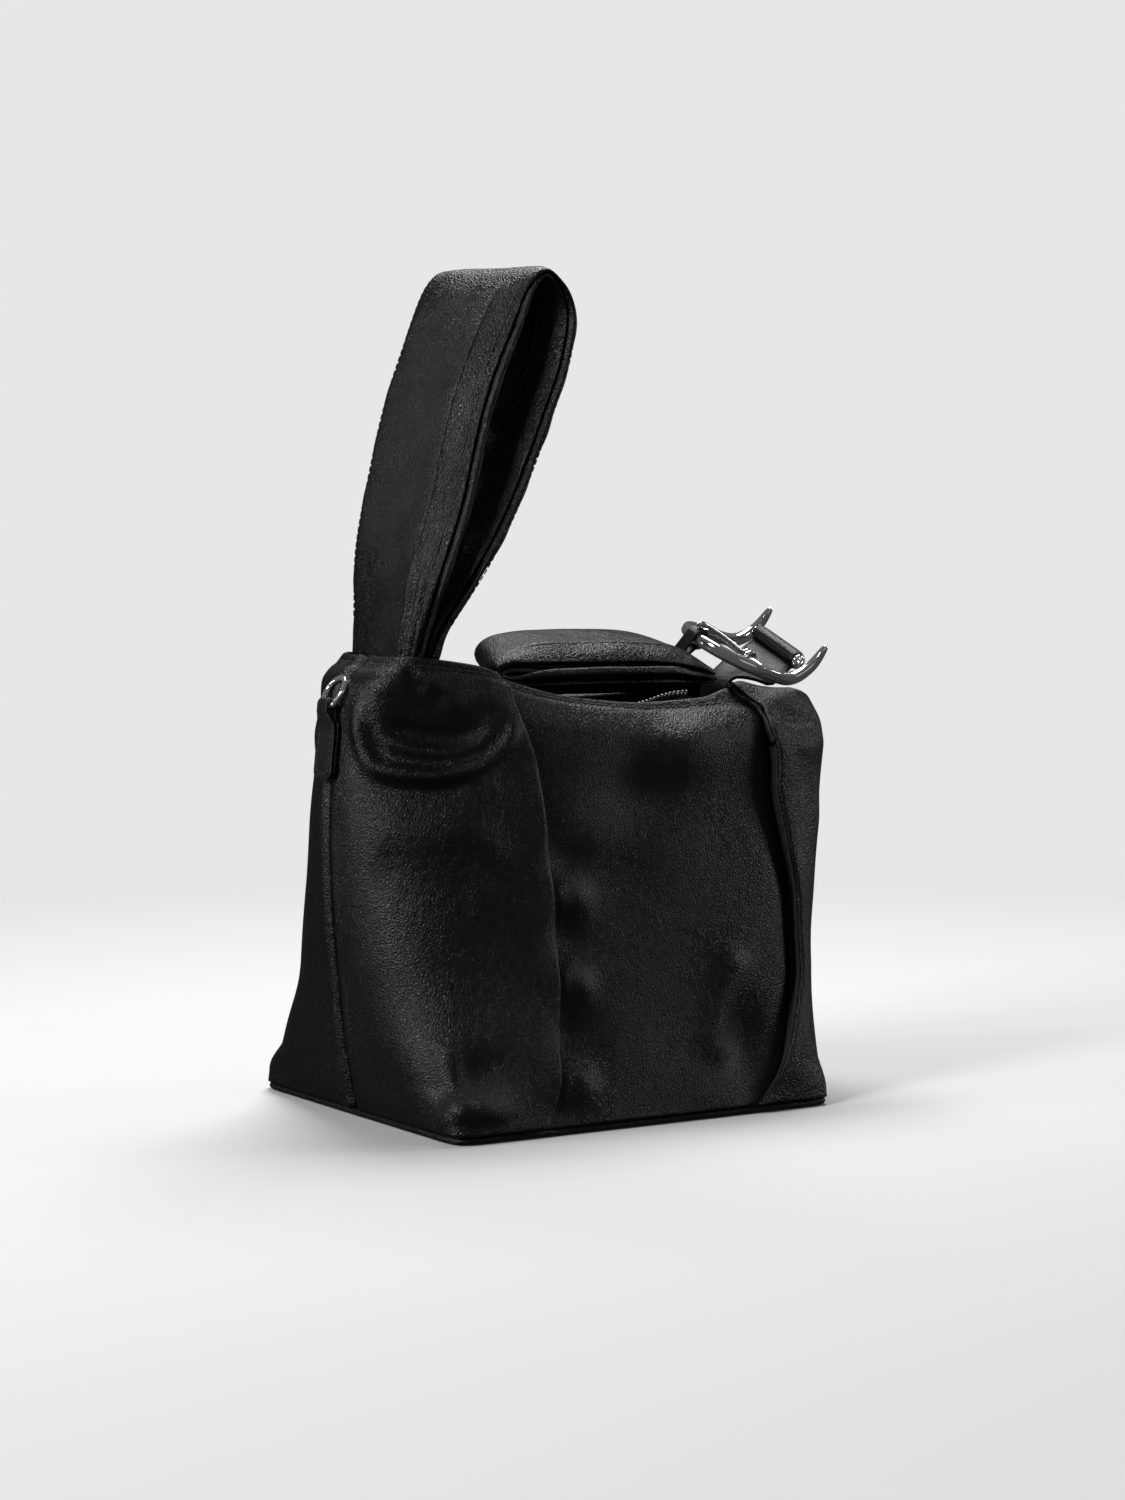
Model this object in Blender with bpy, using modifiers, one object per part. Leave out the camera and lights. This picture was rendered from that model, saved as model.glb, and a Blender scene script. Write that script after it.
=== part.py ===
"""Small leather handbag with a tall padded loop handle, a short padded handle and a horned buckle.

The body is a tent-shaped tote: a front and a back leather panel meet in a seam down the middle of each
end, and stand on a stiff base. A long padded loop rises from the left end of the mouth. A short padded
loop lies folded over the mouth and hangs on a chrome horseshoe buckle, whose upper bar is held by a
leather chape sewn into the right end.

World frame: +Z up, X along the length, front face towards -Y, origin under the middle of the base.
Lengths are in metres.
"""
import math

import bmesh
import bpy
import numpy as np
from mathutils import Euler, Matrix, Vector

OBJECT_NAME = "leather_handbag"
GAP = 0.0004

# Base
BASE_HALF_LENGTH = 0.099
BASE_HALF_DEPTH = 0.089
BASE_PANEL_THICKNESS = 0.0026
BASE_BOARD_THICKNESS = 0.0020
LINING_THICKNESS = 0.0007
PANEL_FOOT = BASE_PANEL_THICKNESS + 0.0010

# Body outline against height: 0 at the base, 1 at the rim
LEFT_END = ((0.0, BASE_HALF_LENGTH), (0.2, 0.106), (0.6, 0.112), (0.85, 0.1085), (0.94, 0.101), (1.0, 0.086))
RIGHT_END = ((0.0, BASE_HALF_LENGTH), (0.2, 0.106), (0.5, 0.119), (0.75, 0.131), (0.88, 0.135), (0.96, 0.130),
             (1.0, 0.100))
LEFT_DEPTH = ((0.0, BASE_HALF_DEPTH), (0.25, 0.071), (0.5, 0.056), (0.75, 0.044), (1.0, 0.034))
RIGHT_DEPTH = ((0.0, BASE_HALF_DEPTH), (0.25, 0.076), (0.5, 0.065), (0.75, 0.055), (0.9, 0.050), (1.0, 0.034))
LEFT_SQUARENESS = ((0.0, 24.0), (0.1, 7.0), (0.3, 3.8), (0.8, 3.0), (1.0, 6.0))
RIGHT_SQUARENESS = ((0.0, 24.0), (0.1, 10.0), (0.3, 6.0), (0.8, 5.0), (1.0, 4.5))
RIM_HEIGHT = ((-0.086, 0.2035), (-0.055, 0.199), (-0.031, 0.190), (0.0, 0.1835), (0.031, 0.181),
              (0.064, 0.182), (0.088, 0.1875), (0.100, 0.1865))
PANEL_THICKNESS = 0.0014
PANEL_ROWS = (0.0, 0.05, 0.12, 0.22, 0.35, 0.49, 0.63, 0.76, 0.855, 0.867, 0.92, 0.96, 1.0)
PANEL_COLUMNS = 29
FACING_THICKNESS = 0.0010
FACING_ROWS = PANEL_ROWS[-4:]
LINING_ROWS = PANEL_ROWS[1:9]

# Long handle: one flat padded band bent into a loop, (x, z) along its middle from leg to leg
LONG_ROUTE = ((-0.0795, 0.2050), (-0.0768, 0.2240), (-0.0730, 0.2450), (-0.0657, 0.2740), (-0.0590, 0.3025),
              (-0.0523, 0.3235), (-0.0427, 0.3465), (-0.0350, 0.3640), (-0.0262, 0.3720), (-0.0180, 0.3660),
              (-0.0140, 0.3565), (-0.0140, 0.3470), (-0.0172, 0.3310), (-0.0255, 0.3100), (-0.0330, 0.2920),
              (-0.0470, 0.2610), (-0.0600, 0.2350), (-0.0692, 0.2170), (-0.0722, 0.2050))
LONG_WIDTH = ((0.205, 0.060), (0.275, 0.062), (0.370, 0.060))
LONG_THICKNESS = ((0.205, 0.0058), (0.222, 0.0062), (0.250, 0.0092), (0.345, 0.0088), (0.364, 0.0058),
                  (0.372, 0.0050))
LONG_TWIST = ((0.205, 0.0), (0.275, 13.0), (0.330, 15.0), (0.372, 22.0))
BAND_TURN = 13.0
BAND_STEP = 0.0120
HANDLE_HINGE = (-0.0845, 0.0, 0.2042)
LEATHER = 0.0011
CORE_INSET = 0.0032
CORE_THICKNESS_SHARE = 0.40

# Short handle: the same band folded flat, (x, z) along its middle from the lower end to the upper end
SHORT_ROUTE = ((0.0860, 0.1905), (0.0720, 0.1915), (0.0400, 0.1925), (0.0050, 0.1926), (-0.0150, 0.1928),
               (-0.0225, 0.1934), (-0.0275, 0.1952), (-0.0294, 0.1982), (-0.0275, 0.2012), (-0.0225, 0.2030),
               (-0.0150, 0.2034), (0.0050, 0.2034), (0.0400, 0.2030), (0.0600, 0.2014), (0.0725, 0.1995))
SHORT_WIDTH = ((-0.028, 0.036), (0.0, 0.043), (0.05, 0.044), (0.088, 0.030))
SHORT_THICKNESS = ((-0.030, 0.0043), (-0.020, 0.0056), (0.0, 0.0084), (0.055, 0.0080), (0.088, 0.0052))
SHORT_ROLL = ((-0.028, 9.0), (0.05, 9.0), (0.088, 15.0))
SHORT_YAW = ((-0.028, -17.0), (0.02, -3.0), (0.088, 4.0))
BAND_SIDES = 12

# Buckle: its own frame has X from the closed end to the horns, Y along the bars and Z up, origin on
# the upper bar
BUCKLE_PLACE = (0.1302, 0.0, 0.2020)
BUCKLE_TURN = (21.0, 18.0, 6.0)
HORSESHOE_RADIUS = 0.0240
HORSESHOE_MIDDLE = -0.0225
HORSESHOE_HEIGHT = -0.0098
HORN_ROUTE = ((-0.0225, -0.0098), (-0.0060, -0.0082), (0.0027, 0.0006), (0.0058, 0.0135))
FRAME_HALF_WIDTH = 0.0031
FRAME_HALF_HEIGHT = 0.0030
HORN_TIP_SCALE = 0.55
UPPER_BAR_RADIUS = 0.0016
LOWER_BAR_RADIUS = 0.0014
LOWER_BAR_X = -0.0135
WRAP_RADIUS = 0.0046
CHAPE_WIDTH = 0.0350
CHAPE_THICKNESS = 0.0026
CHAPE_WIDTHS = ((0.096, 0.020), (0.113, CHAPE_WIDTH))
CHAPE_ROLL = ((0.099, 0.0), (0.113, 1.0))
CHAPE_ROUTE = ((0.0925, 0.1780), (0.0945, 0.1852), (0.0985, 0.1892), (0.1080, 0.1912), (0.1165, 0.1918))
TONGUE_RADIUS = 0.0013
TONGUE_RISE = 0.0062

# Leather loop that ties the short handle to the closed end of the buckle
LOOP_HALF_ANGLE = 13.0
LOOP_THICKNESS = 0.0014

# D-rings and their tabs at the ends
RING_HALF_WIDTH = 0.0068
RING_WIRE = 0.0013
RING_HEIGHT = 0.0160
TAB_THICKNESS = 0.0013
TAB_WIDTH = 0.0155
TAB_NECK_WIDTH = 0.0085
TAB_LENGTH = 0.0330
LEFT_RING_PLACE = (-0.1115, 0.0, 0.1830)
LEFT_RING_LEAN = 33.0
LEFT_TAB_LEAN = 6.0
RIGHT_RING_PLACE = (0.1392, 0.0, 0.1600)
RIGHT_RING_LEAN = -12.0
RIGHT_TAB_LEAN = 11.0

# Zip
ZIP_ROUTE = ((-0.0670, 0.0017), (-0.0500, 0.0017), (-0.0400, 0.0060), (-0.0280, 0.0150), (-0.0060, 0.0208),
             (0.0300, 0.0228), (0.0650, 0.0222), (0.0820, 0.0180), (0.0880, 0.0110))
ZIP_DROP = 0.0060
ZIP_LEVEL_FROM = -0.035
TAPE_HEIGHT = 0.0090
TAPE_THICKNESS = 0.0006
TEETH_HEIGHT = 0.0022
TEETH_THICKNESS = 0.0018
SLIDER_X = -0.0460
SLIDER_SIZE = (0.0080, 0.0080, 0.0042)
PULLER_SIZE = (0.0150, 0.0050, 0.0012)

MATERIALS = {
    "black_leather": ((0.012, 0.012, 0.013), 0.42, 0.0),
    "strap_leather": ((0.012, 0.012, 0.013), 0.40, 0.0),
    "trim_leather": ((0.015, 0.015, 0.016), 0.45, 0.0),
    "foam": ((0.55, 0.55, 0.52), 0.90, 0.0),
    "board": ((0.20, 0.18, 0.15), 0.80, 0.0),
    "lining": ((0.030, 0.030, 0.033), 0.85, 0.0),
    "chrome": ((0.80, 0.80, 0.82), 0.08, 1.0),
    "zip_metal": ((0.35, 0.35, 0.36), 0.30, 1.0),
    "zip_tape": ((0.015, 0.015, 0.016), 0.80, 0.0),
}


def smooth(points, at):
    """Value at a place of the smooth curve through (place, value) points that never overshoots them."""
    places = [place for place, _ in points]
    values = [value for _, value in points]
    at = min(max(at, places[0]), places[-1])
    slopes = [(values[k + 1] - values[k]) / (places[k + 1] - places[k]) for k in range(len(places) - 1)]
    tangents = [slopes[0]]
    for before, after in zip(slopes, slopes[1:]):
        tangents.append(2 * before * after / (before + after) if before * after > 0 else 0.0)
    tangents.append(slopes[-1])
    k = max(i for i in range(len(places) - 1) if places[i] <= at)
    span = places[k + 1] - places[k]
    u = (at - places[k]) / span
    start = (1 + 2 * u) * (1 - u) ** 2 * values[k] + u * (1 - u) ** 2 * span * tangents[k]
    end = u * u * (3 - 2 * u) * values[k + 1] + u * u * (u - 1) * span * tangents[k + 1]
    return start + end


def evenly(points, count):
    """The given number of points, evenly spaced along a polyline."""
    points = np.asarray(points, float)
    steps = np.linalg.norm(np.diff(points, axis=0), axis=1)
    length = np.concatenate([[0.0], np.cumsum(steps)])
    places = np.linspace(0.0, length[-1], count)
    return np.stack([np.interp(places, length, axis) for axis in points.T], axis=1)


def through(points, count, fine=12):
    """Evenly spaced points on a Catmull-Rom curve through the given ones."""
    points = np.asarray(points, float)
    ends = np.vstack([2 * points[0] - points[1], points, 2 * points[-1] - points[-2]])
    dense = []
    for a, b, c, d in zip(ends, ends[1:], ends[2:], ends[3:]):
        for u in np.linspace(0.0, 1.0, fine, endpoint=False):
            dense.append(0.5 * (2 * b + (c - a) * u + (2 * a - 5 * b + 4 * c - d) * u ** 2
                                + (3 * b - a - 3 * c + d) * u ** 3))
    dense.append(points[-1])
    return evenly(dense, count)


def by_bend(points, most_turn, most_step):
    """Points along the same curve, close together where it turns and further apart where it runs straight."""
    dense = through(points, 600)
    headings = np.gradient(dense, axis=0)
    angles = np.unwrap(np.arctan2(headings[:, 1], headings[:, 0]))
    step = np.linalg.norm(dense[1] - dense[0])
    kept = [0]
    for k in range(1, len(dense) - 1):
        turned = abs(angles[k] - angles[kept[-1]])
        if turned >= math.radians(most_turn) or (k - kept[-1]) * step >= most_step:
            kept.append(k)
    return dense[kept + [len(dense) - 1]]


def unit(vector):
    return vector / np.linalg.norm(vector)


# Scene helpers

def clear_scene():
    for item in list(bpy.data.objects):
        bpy.data.objects.remove(item, do_unlink=True)


def make_collections():
    made = []
    for name in (OBJECT_NAME, "cutters"):
        collection = bpy.data.collections.new(name)
        bpy.context.scene.collection.children.link(collection)
        made.append(collection)
    return made


def make_material(name):
    colour, roughness, metallic = MATERIALS[name]
    material = bpy.data.materials.new(name)
    material.use_nodes = True
    shader = material.node_tree.nodes["Principled BSDF"]
    shader.inputs["Base Color"].default_value = (*colour, 1.0)
    shader.inputs["Roughness"].default_value = roughness
    shader.inputs["Metallic"].default_value = metallic
    return material


def add_object(name, data, material):
    item = bpy.data.objects.new(name, data)
    PART.objects.link(item)
    data.materials.clear()
    data.materials.append(MATERIAL[material])
    return item


def add_shell(name, grid, thickness, material, offset=-1.0):
    """An open sheet through a grid of points, made solid: offset -1 thickens behind its front side."""
    mesh = bpy.data.meshes.new(name)
    item = add_object(name, mesh, material)
    fill_grid(mesh, grid, wrap=False)
    solid = item.modifiers.new("thickness", "SOLIDIFY")
    solid.thickness = thickness
    solid.offset = offset
    solid.use_even_offset = True
    return item


def fill_grid(mesh, grid, wrap, caps=False):
    """Faces between the rows of a grid. A wrapped grid's columns close into rings."""
    rows, columns = len(grid), len(grid[0])
    form = bmesh.new()
    verts = [[form.verts.new(point) for point in row] for row in grid]
    last = columns if wrap else columns - 1
    for i in range(rows - 1):
        for j in range(last):
            k = (j + 1) % columns
            form.faces.new((verts[i][j], verts[i][k], verts[i + 1][k], verts[i + 1][j]))
    if caps:
        form.faces.new(list(reversed(verts[0])))
        form.faces.new(verts[-1])
    form.to_mesh(mesh)
    form.free()
    mesh.shade_smooth()
    mesh.set_sharp_from_angle(angle=math.radians(40))


def face_outward(mesh):
    form = bmesh.new()
    form.from_mesh(mesh)
    bmesh.ops.recalc_face_normals(form, faces=form.faces)
    form.to_mesh(mesh)
    form.free()


def add_loft(name, rings, material):
    """A closed solid through rings of points, with flat caps."""
    mesh = bpy.data.meshes.new(name)
    item = add_object(name, mesh, material)
    fill_grid(mesh, rings, wrap=True, caps=True)
    face_outward(mesh)
    return item


def add_sleeve(name, rings, thickness, material):
    """An open-ended tube through rings of points, thickened inwards."""
    mesh = bpy.data.meshes.new(name)
    item = add_object(name, mesh, material)
    fill_grid(mesh, rings, wrap=True)
    face_outward(mesh)
    solid = item.modifiers.new("thickness", "SOLIDIFY")
    solid.thickness = thickness
    solid.offset = -1.0
    return item


def add_cylinder(name, radius, length, material, matrix, sides=16):
    """A cylinder along the local Y axis of a matrix."""
    mesh = bpy.data.meshes.new(name)
    form = bmesh.new()
    bmesh.ops.create_cone(form, cap_ends=True, segments=sides, radius1=radius, radius2=radius, depth=length,
                          matrix=Matrix.Rotation(math.pi / 2, 4, "X"))
    form.to_mesh(mesh)
    form.free()
    mesh.shade_smooth()
    mesh.set_sharp_from_angle(angle=math.radians(40))
    item = add_object(name, mesh, material)
    item.matrix_world = matrix
    return item


def add_block(name, size, centre, material, bevel=0.0):
    mesh = bpy.data.meshes.new(name)
    form = bmesh.new()
    bmesh.ops.create_cube(form, size=1.0, matrix=Matrix.Diagonal((*size, 1.0)))
    form.to_mesh(mesh)
    form.free()
    item = add_object(name, mesh, material)
    item.location = centre
    if bevel:
        edge = item.modifiers.new("edge", "BEVEL")
        edge.width = bevel
        edge.segments = 2
    return item


def make_empty(name, location, turn=(0.0, 0.0, 0.0)):
    empty = bpy.data.objects.new(name, None)
    empty.location = location
    empty.rotation_euler = Euler([math.radians(angle) for angle in turn])
    PART.objects.link(empty)
    return empty


def hang_on(pivot, *items):
    """Parent items to a pivot and keep them where they are."""
    bpy.context.view_layer.update()
    for item in items:
        placed = item.matrix_world.copy()
        item.parent = pivot
        item.matrix_parent_inverse = pivot.matrix_world.inverted()
        item.matrix_world = placed


# Body

def half_depth(x, height):
    share = min(max(0.5 + x / 0.22, 0.0), 1.0)
    share = share * share * (3 - 2 * share)
    return (1 - share) * smooth(LEFT_DEPTH, height) + share * smooth(RIGHT_DEPTH, height)


def front_outline(height, inset=0.0, fine=180):
    """Section of the front half at a height, from the left seam round the front to the right seam."""
    left = smooth(LEFT_END, height) - inset
    right = smooth(RIGHT_END, height) - inset
    middle = (right - left) / 2
    half = (right + left) / 2
    powers = (2.0 / smooth(LEFT_SQUARENESS, height), 2.0 / smooth(RIGHT_SQUARENESS, height))
    points = []
    for angle in np.linspace(0.0, math.pi, fine):
        along = -math.cos(angle)
        power = powers[0] if along < 0 else powers[1]
        x = middle + half * math.copysign(abs(along) ** power, along)
        y = -(half_depth(x, height) - inset) * abs(math.sin(angle)) ** power
        points.append((x, y))
    points[0] = (points[0][0], 0.0)
    points[-1] = (points[-1][0], 0.0)
    return points


def rim_height(x):
    return smooth(RIM_HEIGHT, x)


def front_grid(heights, columns, inward=0.0, span=(0.0, 1.0)):
    """Grid of points on the front half of the body, moved inward along its normals."""
    fine = 4 * (columns - 1) + 1
    rim = evenly(front_outline(1.0), fine)
    rows = []
    for height in heights:
        outline = evenly(front_outline(height), fine)
        row = [(x, y, PANEL_FOOT + height * (rim_height(top[0]) - PANEL_FOOT))
               for (x, y), top in zip(outline, rim)]
        rows.append(row)
    grid = np.array(rows)
    along = np.gradient(grid, axis=1)
    up = np.gradient(grid, axis=0)
    outward = np.cross(along, up)
    outward /= np.linalg.norm(outward, axis=2, keepdims=True)
    moved = grid - outward * inward
    places = np.linspace(span[0], span[1], columns) * (fine - 1)
    return moved[:, np.round(places).astype(int)]


def mirrored(grid):
    """The same grid on the other side of the XZ plane, still facing out."""
    return grid[:, ::-1] * np.array([1.0, -1.0, 1.0])


def add_body_pair(name, grid, thickness, material):
    """Front and back copies of a sheet, parted by a hair at the end seams."""
    hair = np.array([0.0, GAP / 2, 0.0])
    front = add_shell("front_" + name, grid - hair, thickness, material)
    back = add_shell("back_" + name, mirrored(grid) + hair, thickness, material)
    return front, back


def plate_outline(inset, fine=40):
    front = evenly(front_outline(0.0, inset), fine)
    back = [(x, -y) for x, y in front[::-1][1:-1]]
    return [tuple(point) for point in front] + back


def add_plate(name, inset, low, thickness, material):
    """A flat plate of the base's outline."""
    outline = plate_outline(inset)
    rings = [[(x, y, z) for x, y in outline] for z in (low, low + thickness)]
    return add_loft(name, rings, material)


def build_body():
    panel = front_grid(PANEL_ROWS, PANEL_COLUMNS)
    add_body_pair("panel", panel, PANEL_THICKNESS, "black_leather")
    facing = front_grid(FACING_ROWS, PANEL_COLUMNS, inward=PANEL_THICKNESS + 2 * GAP)
    add_body_pair("facing", facing, FACING_THICKNESS, "trim_leather")
    lining = front_grid(LINING_ROWS, PANEL_COLUMNS, inward=PANEL_THICKNESS + GAP)
    add_body_pair("lining", lining, LINING_THICKNESS, "lining")
    pocket_rows = np.linspace(0.36, 0.74, 4)
    pocket = front_grid(pocket_rows, 7, inward=PANEL_THICKNESS + LINING_THICKNESS + 5 * GAP, span=(0.34, 0.66))
    add_shell("slip_pocket", mirrored(pocket), LINING_THICKNESS, "lining")
    add_plate("base_panel", 0.0, 0.0, BASE_PANEL_THICKNESS, "black_leather")
    board_low = BASE_PANEL_THICKNESS + GAP
    add_plate("base_board", 0.0040, board_low, BASE_BOARD_THICKNESS, "board")
    add_plate("base_lining", 0.0050, board_low + BASE_BOARD_THICKNESS + GAP, LINING_THICKNESS, "lining")


# Padded bands

def band_profile(centre, across, through_way, half_width, half_thickness):
    """A flat rounded section: a superellipse in the plane of two directions."""
    ring = []
    for k in range(BAND_SIDES):
        angle = 2 * math.pi * (k + 0.5) / BAND_SIDES
        c, s = math.cos(angle), math.sin(angle)
        wide = half_width * math.copysign(abs(c) ** 0.62, c)
        thick = half_thickness * math.copysign(abs(s) ** 0.75, s)
        ring.append(centre + across * wide + through_way * thick)
    return ring


def band_rings(centres, acrosses, widths, thicknesses):
    tangents = np.gradient(centres, axis=0)
    rings = []
    for centre, tangent, across, width, thick in zip(centres, tangents, acrosses, widths, thicknesses):
        normal = unit(np.cross(across, tangent))
        rings.append(band_profile(centre, across, normal, width / 2, thick / 2))
    return rings


def add_band(name, centres, acrosses, widths, thicknesses):
    """A leather sleeve and the foam core inside it."""
    outer = band_rings(centres, acrosses, widths, thicknesses)
    sleeve = add_sleeve(name + "_sleeve", outer, LEATHER, "strap_leather")
    core_widths = [width - 2 * CORE_INSET for width in widths]
    core_thicknesses = [thick * CORE_THICKNESS_SHARE for thick in thicknesses]
    inner = band_rings(centres, acrosses, core_widths, core_thicknesses)
    core = add_loft(name + "_core", inner[2:-2], "foam")
    return sleeve, core


def long_band():
    route = by_bend(LONG_ROUTE, BAND_TURN, BAND_STEP)
    centres = np.array([(x, 0.0, z) for x, z in route])
    turns = [math.radians(smooth(LONG_TWIST, z)) for _, z in route]
    acrosses = np.array([(math.sin(turn), -math.cos(turn), 0.0) for turn in turns])
    widths = [smooth(LONG_WIDTH, z) for _, z in route]
    thicknesses = [smooth(LONG_THICKNESS, z) for _, z in route]
    return centres, acrosses, widths, thicknesses


def short_band():
    route = by_bend(SHORT_ROUTE, BAND_TURN, BAND_STEP)
    centres = np.array([(x, 0.0, z) for x, z in route])
    acrosses = []
    for x, _ in route:
        turn = Euler((math.radians(smooth(SHORT_ROLL, x)), 0.0, math.radians(smooth(SHORT_YAW, x))))
        acrosses.append(np.array(turn.to_matrix() @ Vector((0.0, -1.0, 0.0))))
    widths = [smooth(SHORT_WIDTH, x) for x, _ in route]
    thicknesses = [smooth(SHORT_THICKNESS, x) for x, _ in route]
    return centres, np.array(acrosses), widths, thicknesses


def build_long_handle():
    pivot = make_empty("long_handle_hinge", HANDLE_HINGE)
    hang_on(pivot, *add_band("long_handle", *long_band()))
    add_block("long_handle_anchor", (0.0120, 0.0440, 0.0130), (-0.0755, 0.0, 0.1885), "trim_leather", 0.0015)


# Buckle

def buckle_matrix():
    turn = Euler([math.radians(angle) for angle in BUCKLE_TURN])
    return Matrix.Translation(BUCKLE_PLACE) @ turn.to_matrix().to_4x4()


def in_world(matrix, points):
    return np.array([matrix @ Vector(point) for point in points])


def horseshoe_route():
    """Middle line of the frame: far horn, far arm, closed end, near arm, near horn."""
    horn = through([(x, 0.0, z) for x, z in HORN_ROUTE], 11)
    near = [(x, -HORSESHOE_RADIUS, z) for x, _, z in horn]
    far = [(x, HORSESHOE_RADIUS, z) for x, _, z in horn]
    arc = []
    for angle in np.linspace(math.pi / 2, 3 * math.pi / 2, 15)[1:-1]:
        arc.append((HORSESHOE_MIDDLE + HORSESHOE_RADIUS * math.cos(angle),
                    HORSESHOE_RADIUS * math.sin(angle), HORSESHOE_HEIGHT))
    return np.array(far[::-1] + arc + near), len(horn)


def add_buckle_frame(place):
    route, horn_count = horseshoe_route()
    tangents = np.gradient(route, axis=0)
    sideways = [np.array([0.0, 1.0, 0.0])] * horn_count
    for point in route[horn_count:-horn_count]:
        sideways.append(unit(np.array([point[0] - HORSESHOE_MIDDLE, point[1], 0.0])))
    sideways += [np.array([0.0, -1.0, 0.0])] * horn_count
    rings = []
    for k, (point, tangent, side) in enumerate(zip(route, tangents, sideways)):
        from_tip = min(k, len(route) - 1 - k)
        scale = smooth(((0, HORN_TIP_SCALE), (2, 0.8), (7, 1.0), (60, 1.0)), from_tip)
        up = unit(np.cross(tangent, side))
        ring = []
        for j in range(10):
            angle = 2 * math.pi * (j + 0.5) / 10
            offset = side * FRAME_HALF_WIDTH * math.cos(angle) + up * FRAME_HALF_HEIGHT * math.sin(angle)
            ring.append(point + scale * offset)
        rings.append(in_world(place, ring))
    return add_loft("buckle_frame", rings, "chrome")


def add_tongue(place):
    """A ring round the lower bar and a prong that rests on the closed end."""
    inner = LOWER_BAR_RADIUS + GAP
    ring = bpy.data.meshes.new("buckle_tongue")
    form = bmesh.new()
    sides = 14
    half = 0.0022
    outer = inner + 0.0014
    loops = []
    for radius, y in ((inner, -half), (outer, -half), (outer, half), (inner, half)):
        loop = []
        for k in range(sides):
            angle = 2 * math.pi * k / sides
            x = LOWER_BAR_X + radius * math.cos(angle)
            loop.append(form.verts.new((x, y, HORSESHOE_HEIGHT + radius * math.sin(angle))))
        loops.append(loop)
    for a, b in zip(loops, loops[1:] + loops[:1]):
        for k in range(sides):
            form.faces.new((a[k], b[k], b[(k + 1) % sides], a[(k + 1) % sides]))
    bmesh.ops.recalc_face_normals(form, faces=form.faces)
    form.to_mesh(ring)
    form.free()
    tongue = add_object("buckle_tongue", ring, "chrome")
    tongue.matrix_world = place
    add_prong(tongue, place, outer)
    return tongue


def add_prong(tongue, place, root):
    """Joins the prong to the tongue's ring with a union."""
    left = HORSESHOE_MIDDLE - HORSESHOE_RADIUS
    path = ((LOWER_BAR_X - root + 0.0004, 0.0, HORSESHOE_HEIGHT + 0.0006),
            (LOWER_BAR_X - 0.010, 0.0, HORSESHOE_HEIGHT + 0.0030),
            (left + 0.008, 0.0, HORSESHOE_HEIGHT + TONGUE_RISE),
            (left - 0.001, 0.0, HORSESHOE_HEIGHT + TONGUE_RISE + 0.0008),
            (left - 0.004, 0.0, HORSESHOE_HEIGHT + TONGUE_RISE - 0.0006))
    route = through(path, 9)
    tangents = np.gradient(route, axis=0)
    rings = []
    for k, (point, tangent) in enumerate(zip(route, tangents)):
        side = np.array([0.0, 1.0, 0.0])
        up = unit(np.cross(tangent, side))
        scale = TONGUE_RADIUS * (1.0 if k < len(route) - 1 else 0.6)
        rings.append([point + scale * (side * math.cos(a) + up * math.sin(a))
                      for a in np.linspace(0.0, 2 * math.pi, 9)[:-1]])
    mesh = bpy.data.meshes.new("prong_form")
    fill_grid(mesh, rings, wrap=True, caps=True)
    face_outward(mesh)
    prong = bpy.data.objects.new("prong_form", mesh)
    CUTTERS.objects.link(prong)
    prong.matrix_world = place
    prong.hide_render = True
    prong.display_type = "WIRE"
    join = tongue.modifiers.new("prong", "BOOLEAN")
    join.operation = "UNION"
    join.object = prong


def add_chape(place):
    """A leather strip from inside the right end, up to the upper bar and once round it."""
    radius = WRAP_RADIUS - CHAPE_THICKNESS / 2
    straight = through(CHAPE_ROUTE, 9)
    centres = [(x, 0.0, z) for x, z in straight]
    for angle in np.radians(np.linspace(-112.0, 148.0, 15)):
        centres.append(tuple(place @ Vector((radius * math.cos(angle), 0.0, radius * math.sin(angle)))))
    level = np.array([0.0, -1.0, 0.0])
    bar_way = np.array(place.to_3x3() @ Vector(level))
    grid = []
    for centre in centres:
        share = smooth(CHAPE_ROLL, centre[0])
        way = unit((1 - share) * level + share * bar_way)
        half = smooth(CHAPE_WIDTHS, centre[0]) / 2
        grid.append([np.array(centre) + way * side * half for side in (-1.0, 0.0, 1.0)])
    return add_shell("buckle_chape", np.array(grid), CHAPE_THICKNESS, "trim_leather", offset=0.0)


def add_handle_loop(place):
    """The strip is swept over a short arc of the closed end, so it follows the frame's curve."""
    clear = FRAME_HALF_WIDTH + 2 * GAP + LOOP_THICKNESS / 2
    rows = []
    profile = [(0.0085, -0.0068)]
    for turn in np.radians(np.linspace(10.0, 270.0, 14)):
        profile.append((clear * math.cos(turn), clear * math.sin(turn)))
    profile.append((0.0058, -0.0092))
    for radial, lift in profile:
        row = []
        for angle in np.radians(np.linspace(180.0 - LOOP_HALF_ANGLE, 180.0 + LOOP_HALF_ANGLE, 5)):
            reach = HORSESHOE_RADIUS + radial
            row.append(place @ Vector((HORSESHOE_MIDDLE + reach * math.cos(angle), reach * math.sin(angle),
                                       HORSESHOE_HEIGHT + lift)))
        rows.append([tuple(point) for point in row])
    return add_shell("short_handle_loop", np.array(rows), LOOP_THICKNESS, "trim_leather", offset=0.0)


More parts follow.
